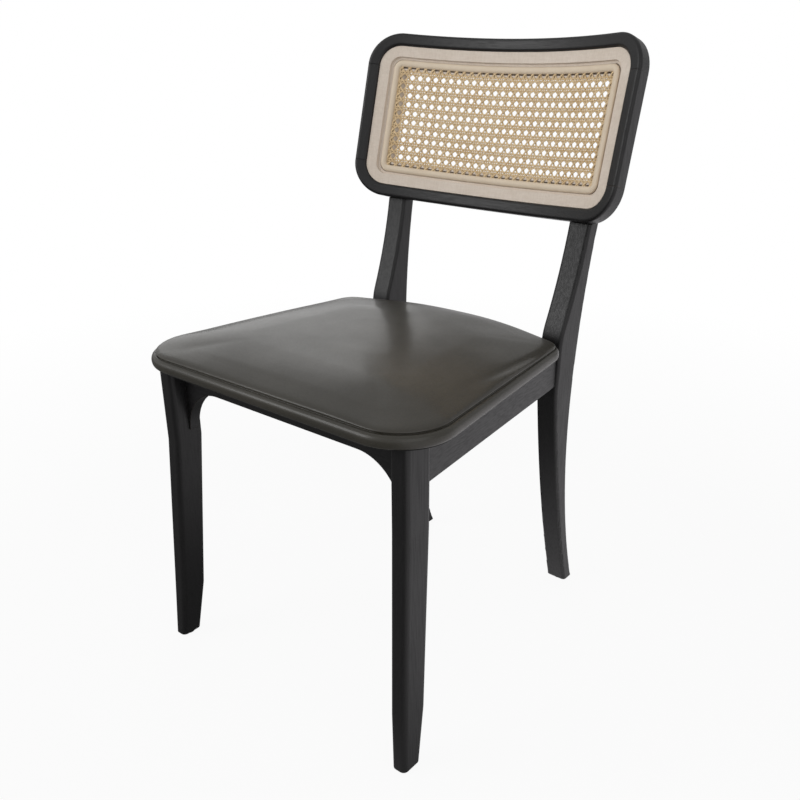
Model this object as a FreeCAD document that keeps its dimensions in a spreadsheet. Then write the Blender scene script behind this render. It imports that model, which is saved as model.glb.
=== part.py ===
import FreeCAD, Part
import math
import operator
import os
from types import SimpleNamespace

import Sketcher
from FreeCAD import Placement, Rotation, Vector

# Driving sizes: lengths in millimetres, angles in degrees
SIZES = {
    # Whole chair
    "rail_top": 430.0,
    "fit_gap": 0.3,
    "tenon_gap": 0.2,
    "cut_overrun": 40.0,
    # Front legs
    "leg_spread": 214.0,
    "leg_width": 25.0,
    "leg_depth": 44.0,
    "leg_round": 7.0,
    "leg_block": 110.0,
    "ankle_height": 80.0,
    "ankle_width": 24.0,
    "ankle_depth": 40.0,
    "foot_width": 21.0,
    "foot_depth": 32.0,
    "leg_splay_out": 11.0,
    "leg_splay_front": 19.0,
    # Back legs, seen from the side
    "frame_depth": 430.0,
    "back_leg_thickness": 33.0,
    "back_leg_round": 5.0,
    "back_foot_spread": 145.5,
    "back_leg_lean_angle": 1.5,
    "knee_height": 350.0,
    "knee_depth": 48.0,
    "knee_flat_below": 11.0,
    "knee_flat_above": 17.0,
    "knee_blend": 80.0,
    "shin_radius": 950.0,
    "shin_waist": 26.0,
    "back_foot_depth": 24.0,
    "post_radius": 1150.0,
    "post_waist": 28.7,
    "post_depth": 29.0,
    "post_overrise": 33.0,
    # Rails and tenons
    "rail_thickness": 22.0,
    "front_rail_thickness": 16.0,
    "front_rail_height": 33.0,
    "front_rail_setback": 22.0,
    "bracket_radius": 64.0,
    "bracket_toe": 2.0,
    "side_rail_height": 55.0,
    "side_rail_inset": 4.0,
    "back_rail_height": 45.0,
    "back_rail_setback": 3.0,
    "tenon_thickness": 9.0,
    "tenon_length": 8.0,
    "tenon_shoulder": 7.0,
    # Corner blocks and their screws
    "block_reach": 62.0,
    "block_height": 28.0,
    "block_clear": 5.0,
    "screw_shank": 4.0,
    "screw_head": 8.0,
    "screw_head_height": 2.6,
    "screw_bite": 12.0,
    "screw_seat": 12.0,
    "counterbore_gap": 1.0,
    # Back frame, in its own upright frame before it is raked
    "back_rake_angle": 14.4,
    "back_half_width": 223.0,
    "back_height": 235.5,
    "back_base_height": 605.0,
    "back_bow": 50.0,
    "back_thickness": 26.0,
    "back_face": 17.5,
    "back_corner": 48.0,
    "back_edge_round": 4.0,
    "dowel_diameter": 8.0,
    "dowel_length": 30.0,
    "tongue_height": 16.5,
    "tongue_thickness": 18.6,
    "post_screw_spread": 8.0,
    "post_screw_length": 22.0,
    "post_screw_recess": 3.0,
    # Pale border that carries the cane
    "border_setback": 3.0,
    "border_thickness": 14.0,
    "border_face": 15.0,
    "border_recess": 4.0,
    "groove_offset": 3.5,
    "groove_width": 12.0,
    "groove_depth": 4.5,
    "border_lip": 3.0,
    "cane_thickness": 1.3,
    "spline_proud": 1.2,
    # Seat
    "seat_overhang": 24.0,
    "seat_side_overhang": 35.0,
    "seat_back_overhang": 18.0,
    "seat_back_reach": 10.0,
    "seat_front_corner": 70.0,
    "seat_back_corner": 36.0,
    "seat_back_radius": 480.0,
    "leather": 1.6,
    "board_thickness": 14.0,
    "board_round": 6.0,
    "band_round": 7.5,
    "band_lap": 4.0,
    "band_turn_under": 30.0,
    "crown_height": 20.0,
    "dust_cover": 0.6,
    "dust_cover_inset": 5.0,
    "staple_crown": 10.0,
    "staple_wire": 1.2,
    "staple_height": 0.6,
    "staple_inset": 20.0,
    "staple_clear": 5.0,
    # Glides
    "glide_height": 3.0,
    "glide_diameter": 17.0,
    "glide_nail": 2.4,
    "glide_nail_length": 16.0,
}

# Places given as shares of a length
FRONT_STAPLE_SHARES = (-0.9, -0.6, -0.3, 0.0, 0.3, 0.6, 0.9)
SIDE_STAPLE_SHARES = (0.08, 0.25, 0.42, 0.59, 0.76, 0.92)
BACK_STAPLE_SHARES = (-0.8, -0.4, 0.0, 0.4, 0.8)
BLOCK_SCREW_SHARE = 0.45
# Openings of the cane: how many across, how many up, and their share of the spacing
CANE_OPENINGS_ACROSS = 12
CANE_OPENINGS_UP = 5
CANE_OPENING_SHARE = 0.5
# Cushion profile: share of the plan left and share of the rise reached there
CROWN_SHARES = ((1.0, 0.0), (0.985, 0.12), (0.93, 0.36), (0.8, 0.68), (0.55, 0.92), (0.3, 1.0))

OPERATIONS = {"+": operator.add, "-": operator.sub, "*": operator.mul, "/": operator.truediv}


class Size:
    """A number together with the sheet expression that gives it."""

    def __init__(self, value, text):
        self.value = value
        self.text = text

    def __add__(self, other):
        return join(self, "+", other)

    def __radd__(self, other):
        return join(other, "+", self)

    def __sub__(self, other):
        return join(self, "-", other)

    def __rsub__(self, other):
        return join(other, "-", self)

    def __mul__(self, other):
        return join(self, "*", other)

    def __rmul__(self, other):
        return join(other, "*", self)

    def __truediv__(self, other):
        return join(self, "/", other)

    def __neg__(self):
        return join(0, "-", self)

    def __float__(self):
        return float(self.value)


def as_size(thing):
    if isinstance(thing, Size):
        return thing
    return Size(thing, repr(thing))


def join(left, sign, right):
    left = as_size(left)
    right = as_size(right)
    value = OPERATIONS[sign](left.value, right.value)
    return Size(value, f"({left.text} {sign} {right.text})")


def sine(angle):
    return Size(math.sin(math.radians(angle.value)), f"sin({angle.text})")


def cosine(angle):
    return Size(math.cos(math.radians(angle.value)), f"cos({angle.text})")


def root(size):
    return Size(math.sqrt(size.value), f"sqrt({size.text})")


def vector(x, y, z):
    return Vector(float(x), float(y), float(z))


os.makedirs("parts", exist_ok=True)
doc = FreeCAD.newDocument("chair")
sheet = doc.addObject("Spreadsheet::Sheet", "Sizes")
for row, (name, number) in enumerate(SIZES.items(), start=1):
    sheet.set(f"A{row}", name)
    sheet.set(f"B{row}", str(number))
    sheet.setAlias(f"B{row}", name)
doc.recompute()
s = SimpleNamespace(**{name: Size(sheet.get(name), f"Sizes.{name}") for name in SIZES})
nodes = []


def bind(thing, path, size):
    thing.setExpression(path, as_size(size).text)


def keep(thing, label):
    """Give a finished sub-part the name of its node."""
    thing.Label = label
    nodes.append(thing)
    return thing


def place(thing, x, y, z):
    for axis, size in zip("xyz", (x, y, z)):
        bind(thing, f"Placement.Base.{axis}", size)
    return thing


def new_body(name):
    return doc.addObject("PartDesign::Body", name)


def new_sketch(body, role, offset=0):
    sketch = body.newObject("Sketcher::SketchObject", f"{body.Name}_sketch")
    plane = next(feature for feature in body.Origin.OriginFeatures if feature.Role == role)
    sketch.AttachmentSupport = (plane, [""])
    sketch.MapMode = "FlatFace"
    bind(sketch, "AttachmentOffset.Base.z", offset)
    return sketch


def arc_between(start, end, radius):
    """The short arc from start to end; a positive radius turns left."""
    chord = end - start
    middle = (start + end) / 2
    left = Vector(-chord.y, chord.x, 0).normalize()
    rise = math.sqrt(radius * radius - (chord.Length / 2) ** 2)
    centre = middle + left * math.copysign(rise, radius)
    crest = centre + (middle - centre).normalize() * abs(radius)
    return Part.Arc(start, crest, end)


def end_at(sketch, index, spot):
    """Which end of a drawn edge lies at a spot."""
    if (sketch.getPoint(index, 1) - spot).Length < (sketch.getPoint(index, 2) - spot).Length:
        return 1
    return 2


def pin(sketch, index, end, path, axis, size):
    """Hold one coordinate of an edge's end to a size."""
    if size.value == 0:
        sketch.addConstraint(Sketcher.Constraint("PointOnObject", index, end, axis))
        return
    rule = Sketcher.Constraint(path, -1, 1, index, end, size.value)
    bind(sketch, f"Constraints[{sketch.addConstraint(rule)}]", size)


def draw(sketch, points, bends=None):
    """Draw a closed outline through points; bends maps a point to the radius that leaves it."""
    bends = bends or {}
    first = sketch.GeometryCount
    count = len(points)
    points = [(as_size(x), as_size(y)) for x, y in points]
    spots = [vector(x, y, 0) for x, y in points]
    for step in range(count):
        start = spots[step]
        end = spots[(step + 1) % count]
        if step in bends:
            sketch.addGeometry(arc_between(start, end, float(bends[step])), False)
        else:
            sketch.addGeometry(Part.LineSegment(start, end), False)
    for step in range(count):
        here = first + step
        before = first + (step - 1) % count
        spot = spots[step]
        end = end_at(sketch, here, spot)
        sketch.addConstraint(
            Sketcher.Constraint("Coincident", before, end_at(sketch, before, spot), here, end))
    for step, (x, y) in enumerate(points):
        here = first + step
        end = end_at(sketch, here, spots[step])
        pin(sketch, here, end, "DistanceX", -2, x)
        pin(sketch, here, end, "DistanceY", -1, y)
    for step, radius in bends.items():
        size = as_size(radius)
        if size.value < 0:
            size = -size
        rule = Sketcher.Constraint("Radius", first + step, size.value)
        bind(sketch, f"Constraints[{sketch.addConstraint(rule)}]", size)
    return sketch


def pad(body, sketch, length, both_ways=False):
    feature = body.newObject("PartDesign::Pad", f"{body.Name}_pad")
    feature.Profile = sketch
    bind(feature, "Length", length)
    if both_ways:
        feature.SideType = "Symmetric"
    doc.recompute()
    return feature


def slab(name, role, points, length, offset=0, bends=None, both_ways=False):
    """A body padded from one closed outline."""
    body = new_body(name)
    pad(body, draw(new_sketch(body, role, offset), points, bends), length, both_ways)
    return body


def round_off(body, radius, chosen):
    """Round the body's edges that pass a test."""
    base = body.Tip
    names = [f"Edge{number}" for number, edge in enumerate(base.Shape.Edges, start=1) if chosen(edge)]
    feature = body.newObject("PartDesign::Fillet", f"{body.Name}_round")
    feature.Base = (base, names)
    bind(feature, "Radius", radius)
    doc.recompute()
    return body


def box(name, corner, extent):
    thing = doc.addObject("Part::Box", name)
    for path, size in zip(("Length", "Width", "Height"), extent):
        bind(thing, path, size)
    return place(thing, *corner)


def cylinder(name, radius, height, placement):
    thing = doc.addObject("Part::Cylinder", name)
    bind(thing, "Radius", radius)
    bind(thing, "Height", height)
    thing.Placement = placement
    return thing


def group(name, things):
    thing = doc.addObject("Part::Compound", name)
    thing.Links = things
    return thing


def fuse(name, *things):
    thing = doc.addObject("Part::MultiFuse", name)
    thing.Shapes = list(things)
    return thing


def combine(kind, name, base, tool):
    thing = doc.addObject(f"Part::{kind}", name)
    thing.Base = base
    thing.Tool = tool
    return thing


def cut(name, base, *tools):
    tool = tools[0] if len(tools) == 1 else group(f"{name}_tools", list(tools))
    return combine("Cut", name, base, tool)


def common(name, base, tool):
    return combine("Common", name, base, tool)


def mirror(name, source):
    """The left-hand twin of a right-hand piece."""
    thing = doc.addObject("Part::Mirroring", name)
    thing.Source = source
    thing.Normal = Vector(1, 0, 0)
    return thing


def keep_pair(thing, label):
    keep(thing, f"{label}_right")
    keep(mirror(f"{label}_twin", thing), f"{label}_left")


def rounded_box_points(x0, x1, y0, y1, radius):
    """Corner points and bends of a rectangle with rounded corners."""
    points = [(x0 + radius, y0), (x1 - radius, y0), (x1, y0 + radius), (x1, y1 - radius),
              (x1 - radius, y1), (x0 + radius, y1), (x0, y1 - radius), (x0, y0 + radius)]
    return points, {1: radius, 3: radius, 5: radius, 7: radius}


lean_slope = sine(s.back_leg_lean_angle) / cosine(s.back_leg_lean_angle)


def back_leg_middle(height):
    """Where the middle of the leaning back leg stands at a height."""
    return s.back_foot_spread + height * lean_slope


def rear_bend(radius, height):
    """How far the rear face of the back leg stands behind its knee at a height."""
    rise = height - s.knee_height
    return radius - root(radius * radius - rise * rise)


# The back frame is one arc in plan, and its rear face lies on the tongue of each post
back_radius = (s.back_half_width * s.back_half_width + s.back_bow * s.back_bow) / (s.back_bow * 2)
axis_y = s.back_bow - back_radius
rear_radius = back_radius + s.back_thickness
post_x = back_leg_middle(s.back_base_height)
post_seat = axis_y + root(rear_radius * rear_radius - post_x * post_x)
tongue_face = s.frame_depth + rear_bend(s.post_radius, s.back_base_height) - s.tongue_thickness
back_base_reach = tongue_face - post_seat * cosine(s.back_rake_angle)
rear_edge_y = (s.back_bow + s.back_thickness - s.back_edge_round) * cosine(s.back_rake_angle)
rear_edge_lift = (s.back_height - s.back_edge_round) * sine(s.back_rake_angle)
overall_depth = s.seat_overhang + back_base_reach + s.back_edge_round + rear_edge_y + rear_edge_lift

# Planes shared by the mating pieces; the chair's depth is centred on the origin
front_edge = -overall_depth / 2
leg_front = front_edge + s.seat_overhang
leg_back = leg_front + s.leg_depth
leg_inner = s.leg_spread - s.leg_width
knee_rear = leg_front + s.frame_depth
knee_front = knee_rear - s.knee_depth
back_base_y = leg_front + back_base_reach
half_leg = s.back_leg_thickness / 2 / cosine(s.back_leg_lean_angle)
side_front_outer = s.leg_spread - s.side_rail_inset
side_front_inner = side_front_outer - s.rail_thickness
side_rail_middle = s.rail_top - s.side_rail_height / 2
side_back_outer = back_leg_middle(side_rail_middle) + half_leg - s.side_rail_inset
side_back_inner = side_back_outer - s.rail_thickness
front_rail_front = leg_front + s.front_rail_setback
front_rail_back = front_rail_front + s.front_rail_thickness
back_rail_front = knee_front + s.back_rail_setback


def side_rail_inside(y):
    """Where the inner face of the side rail stands at a depth."""
    share = (y - leg_back) / (knee_front - leg_back)
    return side_front_inner - (side_front_inner - side_back_inner) * share


# Screws and tenons, with the holes that take them
def screw(name, spot, turn, length):
    shank = cylinder(f"{name}_shank", s.screw_shank / 2, length, Placement(spot, turn))
    head = cylinder(f"{name}_head", s.screw_head / 2, s.screw_head_height,
                    Placement(spot - turn.multVec(vector(0, 0, s.screw_head_height)), turn))
    return fuse(name, shank, head)


def screw_hole(name, spot, turn, length, recess):
    shank = cylinder(f"{name}_bore", s.screw_shank / 2 + s.tenon_gap, length + s.tenon_gap,
                     Placement(spot, turn))
    start = spot - turn.multVec(vector(0, 0, recess))
    mouth = cylinder(f"{name}_mouth", s.screw_head / 2 + s.counterbore_gap, recess, Placement(start, turn))
    return fuse(name, shank, mouth)


def mortise(name, corner, extent):
    """A tenon's hole: its box grown by the joint's clearance."""
    start = [size - s.tenon_gap for size in corner]
    grown = [size + s.tenon_gap * 2 for size in extent]
    return box(name, start, grown)


front_tenon_height = s.front_rail_height - s.tenon_shoulder * 2
front_tenon_corner = (leg_inner, (front_rail_front + front_rail_back - s.tenon_thickness) / 2,
                      s.rail_top - s.front_rail_height + s.tenon_shoulder)
front_tenon_extent = (s.tenon_length, s.tenon_thickness, front_tenon_height)
side_tenon_height = s.side_rail_height - s.tenon_shoulder * 2
side_tenon_low = s.rail_top - s.side_rail_height + s.tenon_shoulder
side_tenon_extent = (s.tenon_thickness, s.tenon_length, side_tenon_height)
side_front_tenon_corner = ((side_front_outer + side_front_inner - s.tenon_thickness) / 2,
                           leg_back - s.tenon_length, side_tenon_low)
side_back_tenon_corner = ((side_back_outer + side_back_inner - s.tenon_thickness) / 2, knee_front,
                          side_tenon_low)
back_tenon_low = s.rail_top - s.back_rail_height + s.tenon_shoulder
back_tenon_height = s.back_rail_height - s.tenon_shoulder * 2
back_tenon_start = back_leg_middle(back_tenon_low) - half_leg - s.tenon_shoulder
back_tenon_corner = (back_tenon_start, back_rail_front + (s.rail_thickness - s.tenon_thickness) / 2,
                     back_tenon_low)
back_tenon_extent = (s.tenon_length + s.tenon_shoulder, s.tenon_thickness, back_tenon_height)


# Front legs: straight beside the rails, then splayed and tapered to the foot
def leg_section(body, height, x_outer, y_front, width, depth):
    sketch = new_sketch(body, "XY_Plane", height)
    draw(sketch, *rounded_box_points(x_outer - width, x_outer, y_front, y_front + depth, s.leg_round))
    return sketch


leg_body = new_body("front_leg_body")
block_foot = s.rail_top - s.leg_block
ankle_share = (block_foot - s.ankle_height) / block_foot
leg_sections = [
    leg_section(leg_body, s.rail_top, s.leg_spread, leg_front, s.leg_width, s.leg_depth),
    leg_section(leg_body, block_foot, s.leg_spread, leg_front, s.leg_width, s.leg_depth),
    leg_section(leg_body, s.ankle_height, s.leg_spread + s.leg_splay_out * ankle_share,
                leg_front - s.leg_splay_front * ankle_share, s.ankle_width, s.ankle_depth),
    leg_section(leg_body, s.glide_height, s.leg_spread + s.leg_splay_out,
                leg_front - s.leg_splay_front, s.foot_width, s.foot_depth),
]
leg_loft = leg_body.newObject("PartDesign::AdditiveLoft", "front_leg_loft")
leg_loft.Profile = leg_sections[0]
leg_loft.Sections = leg_sections[1:]
leg_loft.Ruled = True
doc.recompute()
front_foot_x = s.leg_spread + s.leg_splay_out - s.foot_width / 2
front_foot_y = leg_front - s.leg_splay_front + s.foot_depth / 2

UP = Rotation()


def glide_parts(name, x, y):
    """A disc glide with its nail, and the hole for the nail."""
    spot = vector(x, y, 0)
    top = vector(x, y, s.glide_height)
    disc = cylinder(f"{name}_disc", s.glide_diameter / 2, s.glide_height, Placement(spot, UP))
    nail = cylinder(f"{name}_nail", s.glide_nail / 2, s.glide_nail_length + s.glide_height,
                    Placement(spot, UP))
    hole = cylinder(f"{name}_hole", s.glide_nail / 2 + s.tenon_gap, s.glide_nail_length + s.tenon_gap,
                    Placement(top, UP))
    return fuse(name, disc, nail), hole


front_glide, front_nail_hole = glide_parts("front_glide", front_foot_x, front_foot_y)
front_leg = cut("front_leg", leg_body,
                mortise("front_leg_front_mortise", front_tenon_corner, front_tenon_extent),
                mortise("front_leg_side_mortise", side_front_tenon_corner, side_tenon_extent),
                front_nail_hole)
keep_pair(front_leg, "front_leg")

# Front rail: an arch between the legs with a bracket at each end
rail_bottom = s.rail_top - s.front_rail_height
bracket_start = leg_inner - s.bracket_toe - s.bracket_radius
bracket_foot = rail_bottom - s.bracket_radius
front_rail_points = [
    (leg_inner, s.rail_top), (-leg_inner, s.rail_top), (-leg_inner, bracket_foot),
    (s.bracket_toe - leg_inner, bracket_foot), (-bracket_start, rail_bottom),
    (bracket_start, rail_bottom), (leg_inner - s.bracket_toe, bracket_foot), (leg_inner, bracket_foot),
]
front_rail_body = slab("front_rail_body", "XZ_Plane", front_rail_points, s.front_rail_thickness,
                       -front_rail_back, {3: -s.bracket_radius, 5: -s.bracket_radius})
front_rail_tenon = box("front_rail_tenon", front_tenon_corner, front_tenon_extent)
front_rail_whole = fuse("front_rail_whole", front_rail_body, front_rail_tenon,
                        mirror("front_rail_tenon_twin", front_rail_tenon))

# Side rails: square at both legs, so they lie askew in plan
side_rail_points = [(side_front_inner, leg_back), (side_front_outer, leg_back),
                    (side_back_outer, knee_front), (side_back_inner, knee_front)]
side_rail_body = slab("side_rail_body", "XY_Plane", side_rail_points, s.side_rail_height,
                      s.rail_top - s.side_rail_height)
side_rail_whole = fuse("side_rail_whole", side_rail_body,
                       box("side_rail_front_tenon", side_front_tenon_corner, side_tenon_extent),
                       box("side_rail_back_tenon", side_back_tenon_corner, side_tenon_extent))

# Back rail: its ends follow the lean of the back legs
back_rail_low = s.rail_top - s.back_rail_height
back_rail_low_end = back_leg_middle(back_rail_low) - half_leg
back_rail_top_end = back_leg_middle(s.rail_top) - half_leg
back_rail_points = [(-back_rail_low_end, back_rail_low), (back_rail_low_end, back_rail_low),
                    (back_rail_top_end, s.rail_top), (-back_rail_top_end, s.rail_top)]
back_rail_body = slab("back_rail_body", "XZ_Plane", back_rail_points, s.rail_thickness,
                      -(back_rail_front + s.rail_thickness))
back_rail_tenon = box("back_rail_tenon", back_tenon_corner, back_tenon_extent)
back_rail_whole = fuse("back_rail_whole", back_rail_body, back_rail_tenon,
                       mirror("back_rail_tenon_twin", back_rail_tenon))

# Corner blocks with one screw into each rail and one up into the seat board
block_low = s.rail_top - s.block_height
block_middle = s.rail_top - s.block_height / 2
front_block_side_y = front_rail_back + s.block_reach
front_block_corner_y = leg_back + s.block_clear
front_block_points = [
    (leg_inner - s.block_clear, front_rail_back),
    (side_rail_inside(front_block_corner_y), front_block_corner_y),
    (side_rail_inside(front_block_side_y), front_block_side_y),
    (leg_inner - s.block_reach, front_rail_back),
]
back_inner_face = back_leg_middle(block_low) - half_leg
back_block_side_y = knee_front - s.block_reach
back_block_corner_y = knee_front - s.block_clear
back_block_inner_x = back_inner_face - s.block_clear
back_block_points = [
    (back_inner_face - s.block_reach, back_rail_front),
    (side_rail_inside(back_block_side_y), back_block_side_y),
    (side_rail_inside(back_block_corner_y), back_block_corner_y),
    (back_block_inner_x, back_block_corner_y), (back_block_inner_x, back_rail_front),
]
front_block_body = slab("front_block_body", "XY_Plane", front_block_points, s.block_height, block_low)
back_block_body = slab("back_block_body", "XY_Plane", back_block_points, s.block_height, block_low)

TO_FRONT = Rotation(Vector(1, 0, 0), 90)
TO_BACK = Rotation(Vector(1, 0, 0), -90)
TO_RIGHT = Rotation(Vector(0, 1, 0), 90)
block_screw_length = s.screw_seat + s.screw_bite
front_screw_x = leg_inner - s.block_reach * BLOCK_SCREW_SHARE
back_screw_x = back_inner_face - s.block_reach * BLOCK_SCREW_SHARE
front_side_screw_y = leg_back + s.block_reach * BLOCK_SCREW_SHARE
back_side_screw_y = knee_front - s.block_reach * BLOCK_SCREW_SHARE
front_side_screw_x = side_rail_inside(front_side_screw_y) - s.screw_seat
back_side_screw_x = side_rail_inside(back_side_screw_y) - s.screw_seat
block_screw_places = {
    "front": (vector(front_screw_x, front_rail_back + s.screw_seat, block_middle), TO_FRONT),
    "front_side": (vector(front_side_screw_x, front_side_screw_y, block_middle), TO_RIGHT),
    "back": (vector(back_screw_x, back_rail_front - s.screw_seat, block_middle), TO_BACK),
    "back_side": (vector(back_side_screw_x, back_side_screw_y, block_middle), TO_RIGHT),
}
block_screws = []
block_holes = {}
for place_name, (spot, turn) in block_screw_places.items():
    block_screws.append(screw(f"{place_name}_block_screw", spot, turn, block_screw_length))
    block_holes[place_name] = screw_hole(f"{place_name}_block_hole", spot, turn, block_screw_length,
                                         s.cut_overrun)

seat_screw_recess = s.screw_head_height + s.tenon_gap
seat_screw_length = s.block_height - seat_screw_recess + s.screw_bite
seat_screw_low = block_low + seat_screw_recess
seat_screw_places = {
    "front": vector(front_screw_x + s.screw_head, front_rail_back + s.screw_head * 2, seat_screw_low),
    "back": vector(back_screw_x + s.screw_head, back_rail_front - s.screw_head * 2, seat_screw_low),
}
seat_screws = []
seat_screw_holes = {}
for place_name, spot in seat_screw_places.items():
    seat_screws.append(screw(f"{place_name}_seat_screw", spot, UP, seat_screw_length))
    seat_screw_holes[place_name] = screw_hole(f"{place_name}_seat_hole", spot, UP, seat_screw_length,
                                              seat_screw_recess)


def both_sides(name, things):
    return things + [mirror(f"{name}_twin_{number}", thing) for number, thing in enumerate(things)]


front_holes = both_sides("front_rail_hole", [block_holes["front"]])
back_holes = both_sides("back_rail_hole", [block_holes["back"]])
keep(cut("front_rail", front_rail_whole, *front_holes), "front_rail")
keep_pair(cut("side_rail", side_rail_whole, block_holes["front_side"], block_holes["back_side"]), "side_rail")
keep(cut("back_rail", back_rail_whole, *back_holes), "back_rail")
front_block_tools = fuse("front_block_tools", block_holes["front"], block_holes["front_side"],
                         seat_screw_holes["front"])
back_block_tools = fuse("back_block_tools", block_holes["back"], block_holes["back_side"],
                        seat_screw_holes["back"])
keep_pair(cut("front_block", front_block_body, front_block_tools), "corner_block_front")
keep_pair(cut("back_block", back_block_body, back_block_tools), "corner_block_back")
keep(group("block_screws", both_sides("block_screw", block_screws)), "block_screws")
keep(group("seat_screws", both_sides("seat_screw", seat_screws)), "seat_screws")

# Back frame: outlines in elevation, met with shells about one upright axis, then raked
RAKE = Rotation(Vector(1, 0, 0), -float(s.back_rake_angle))
RAKED = Placement(vector(0, back_base_y, s.back_base_height), RAKE)
shell_low = -s.cut_overrun
shell_height = s.back_height + s.cut_overrun * 2


def shell(name, inner, outer):
    """An upright curved wall between two radii."""
    spot = Placement(vector(0, axis_y, shell_low), UP)
    return cut(name, cylinder(f"{name}_outer", outer, shell_height, spot),
               cylinder(f"{name}_inner", inner, shell_height, spot))


def ring_points(inset, corner):
    return rounded_box_points(inset - s.back_half_width, s.back_half_width - inset,
                              inset, s.back_height - inset, corner)


def panel(name, inset, corner, hole_inset=None, hole_corner=None):
    """An upright rounded slab, with a rounded opening when a hole is given."""
    body = new_body(name)
    sketch = new_sketch(body, "XZ_Plane")
    draw(sketch, *ring_points(inset, corner))
    if hole_inset is not None:
        draw(sketch, *ring_points(hole_inset, hole_corner))
    pad(body, sketch, (s.back_bow + s.back_thickness + s.cut_overrun) * 2, both_ways=True)
    return body


frame_inner_corner = s.back_corner - s.back_face
frame_shell = shell("frame_shell", back_radius, rear_radius)
frame_panel = panel("frame_panel", 0, s.back_corner, s.back_face, frame_inner_corner)
frame_ring = common("frame_ring", frame_panel, frame_shell)
doc.recompute()


def is_face_edge(edge):
    """True for the long edges where the curved faces meet the outline."""
    near = float(back_radius)
    far = float(rear_radius)
    ends = [math.hypot(vertex.X, vertex.Y - float(axis_y)) for vertex in edge.Vertexes]
    slack = float(s.fit_gap)
    return all(abs(end - near) < slack for end in ends) or all(abs(end - far) < slack for end in ends)


frame_round = doc.addObject("Part::Fillet", "frame_round")
frame_round.Base = frame_ring
frame_round.Edges = [(number, float(s.back_edge_round), float(s.back_edge_round))
                     for number, edge in enumerate(frame_ring.Shape.Edges, start=1) if is_face_edge(edge)]
doc.recompute()

# The ring is divided at the ends of its corners into two rails and two stiles
stile_low = s.back_corner
stile_high = s.back_height - s.back_corner
slice_width = (s.back_half_width + s.cut_overrun) * 2
slice_depth = (s.back_bow + s.back_thickness + s.cut_overrun) * 2
slice_left = -slice_width / 2
slice_front = -slice_depth / 2


def rail_slices(end):
    """Corners and extents of the boxes that part the two rails from a ring."""
    extent = (slice_width, slice_depth, end + s.cut_overrun)
    return {"top": ((slice_left, slice_front, s.back_height - end), extent),
            "bottom": ((slice_left, slice_front, -s.cut_overrun), extent)}


def stile_slices(end):
    """Corners and extents of the boxes that part the two stiles from a ring."""
    extent = (slice_width / 2, slice_depth, s.back_height - end * 2)
    return {"left": ((slice_left, slice_front, end), extent),
            "right": ((slice_left + slice_width / 2, slice_front, end), extent)}


dowel_x = s.back_half_width - s.back_face / 2
dowel_ring = back_radius + s.back_thickness / 2
dowel_y = axis_y + root(dowel_ring * dowel_ring - dowel_x * dowel_x)
dowels = []
dowel_holes = []
for hand, x in (("left", -dowel_x), ("right", dowel_x)):
    for end, middle in (("low", stile_low), ("high", stile_high)):
        start = middle - s.dowel_length / 2
        dowels.append(cylinder(f"dowel_{hand}_{end}", s.dowel_diameter / 2, s.dowel_length,
                               Placement(vector(x, dowel_y, start), UP)))
        dowel_holes.append(cylinder(f"dowel_hole_{hand}_{end}", s.dowel_diameter / 2 + s.tenon_gap,
                                    s.dowel_length + s.fit_gap * 2,
                                    Placement(vector(x, dowel_y, start - s.fit_gap), UP)))

# Screws through the tongue of each post into the bottom rail
post_screws = []
post_holes = []
for number, side in enumerate((-1, 1)):
    x = post_x + s.post_screw_spread * side
    head_y = axis_y + root(rear_radius * rear_radius - x * x) + s.post_screw_recess
    spot = vector(x, head_y, s.tongue_height / 2)
    shank_length = s.post_screw_length - s.screw_head_height
    post_screws.append(screw(f"post_screw_{number}", spot, TO_FRONT, shank_length))
    post_holes.append(screw_hole(f"post_hole_{number}", spot, TO_FRONT, s.post_screw_length, s.cut_overrun))
pilot_holes = both_sides("post_pilot", post_holes)

for side, (corner, extent) in rail_slices(s.back_corner).items():
    piece = common(f"back_{side}_slice", frame_round, box(f"back_{side}_box", corner, extent))
    tools = list(dowel_holes)
    if side == "bottom":
        tools += pilot_holes
    piece = cut(f"back_{side}_rail", piece, *tools)
    piece.Placement = RAKED
    keep(piece, f"back_{side}_rail")
for side, (corner, extent) in stile_slices(s.back_corner).items():
    piece = common(f"back_{side}_slice", frame_round, box(f"back_{side}_box", corner, extent))
    piece = cut(f"back_stile_{side}", piece, *dowel_holes)
    piece.Placement = RAKED
    keep(piece, f"back_stile_{side}")
back_dowels = group("back_dowels", dowels)
back_dowels.Placement = RAKED
keep(back_dowels, "back_dowels")
post_screw_group = group("post_screws", both_sides("post_screw", post_screws))
post_screw_group.Placement = RAKED
keep(post_screw_group, "post_screws")

# Pale border: a stepped ring with a groove for the edge of the cane
border_front = back_radius + s.border_setback
border_floor = border_front + s.border_recess
border_inset = s.back_face + s.fit_gap
border_corner = frame_inner_corner - s.fit_gap
step_inset = border_inset + s.border_face
step_corner = border_corner - s.border_face
groove_inset = step_inset + s.groove_offset
groove_corner = step_corner - s.groove_offset
groove_end = groove_inset + s.groove_width
opening_inset = groove_end + s.border_lip
groove_end_corner = groove_corner / 2
border_shell = shell("border_shell", border_front, border_front + s.border_thickness)
recess_shell = shell("recess_shell", border_front - s.cut_overrun, border_floor)
groove_shell = shell("groove_shell", border_floor - s.fit_gap, border_floor + s.groove_depth)
border_blank = common("border_blank",
                      panel("border_panel", border_inset, border_corner, opening_inset, groove_end_corner),
                      border_shell)
border_recess = common("border_recess", panel("recess_panel", step_inset, step_corner), recess_shell)
border_groove = common("border_groove",
                       panel("groove_panel", groove_inset, groove_corner, groove_end, groove_end_corner),
                       groove_shell)
border_ring = cut("border_ring", border_blank, fuse("border_cuts", border_recess, border_groove))
border_end = opening_inset + groove_end_corner
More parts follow.
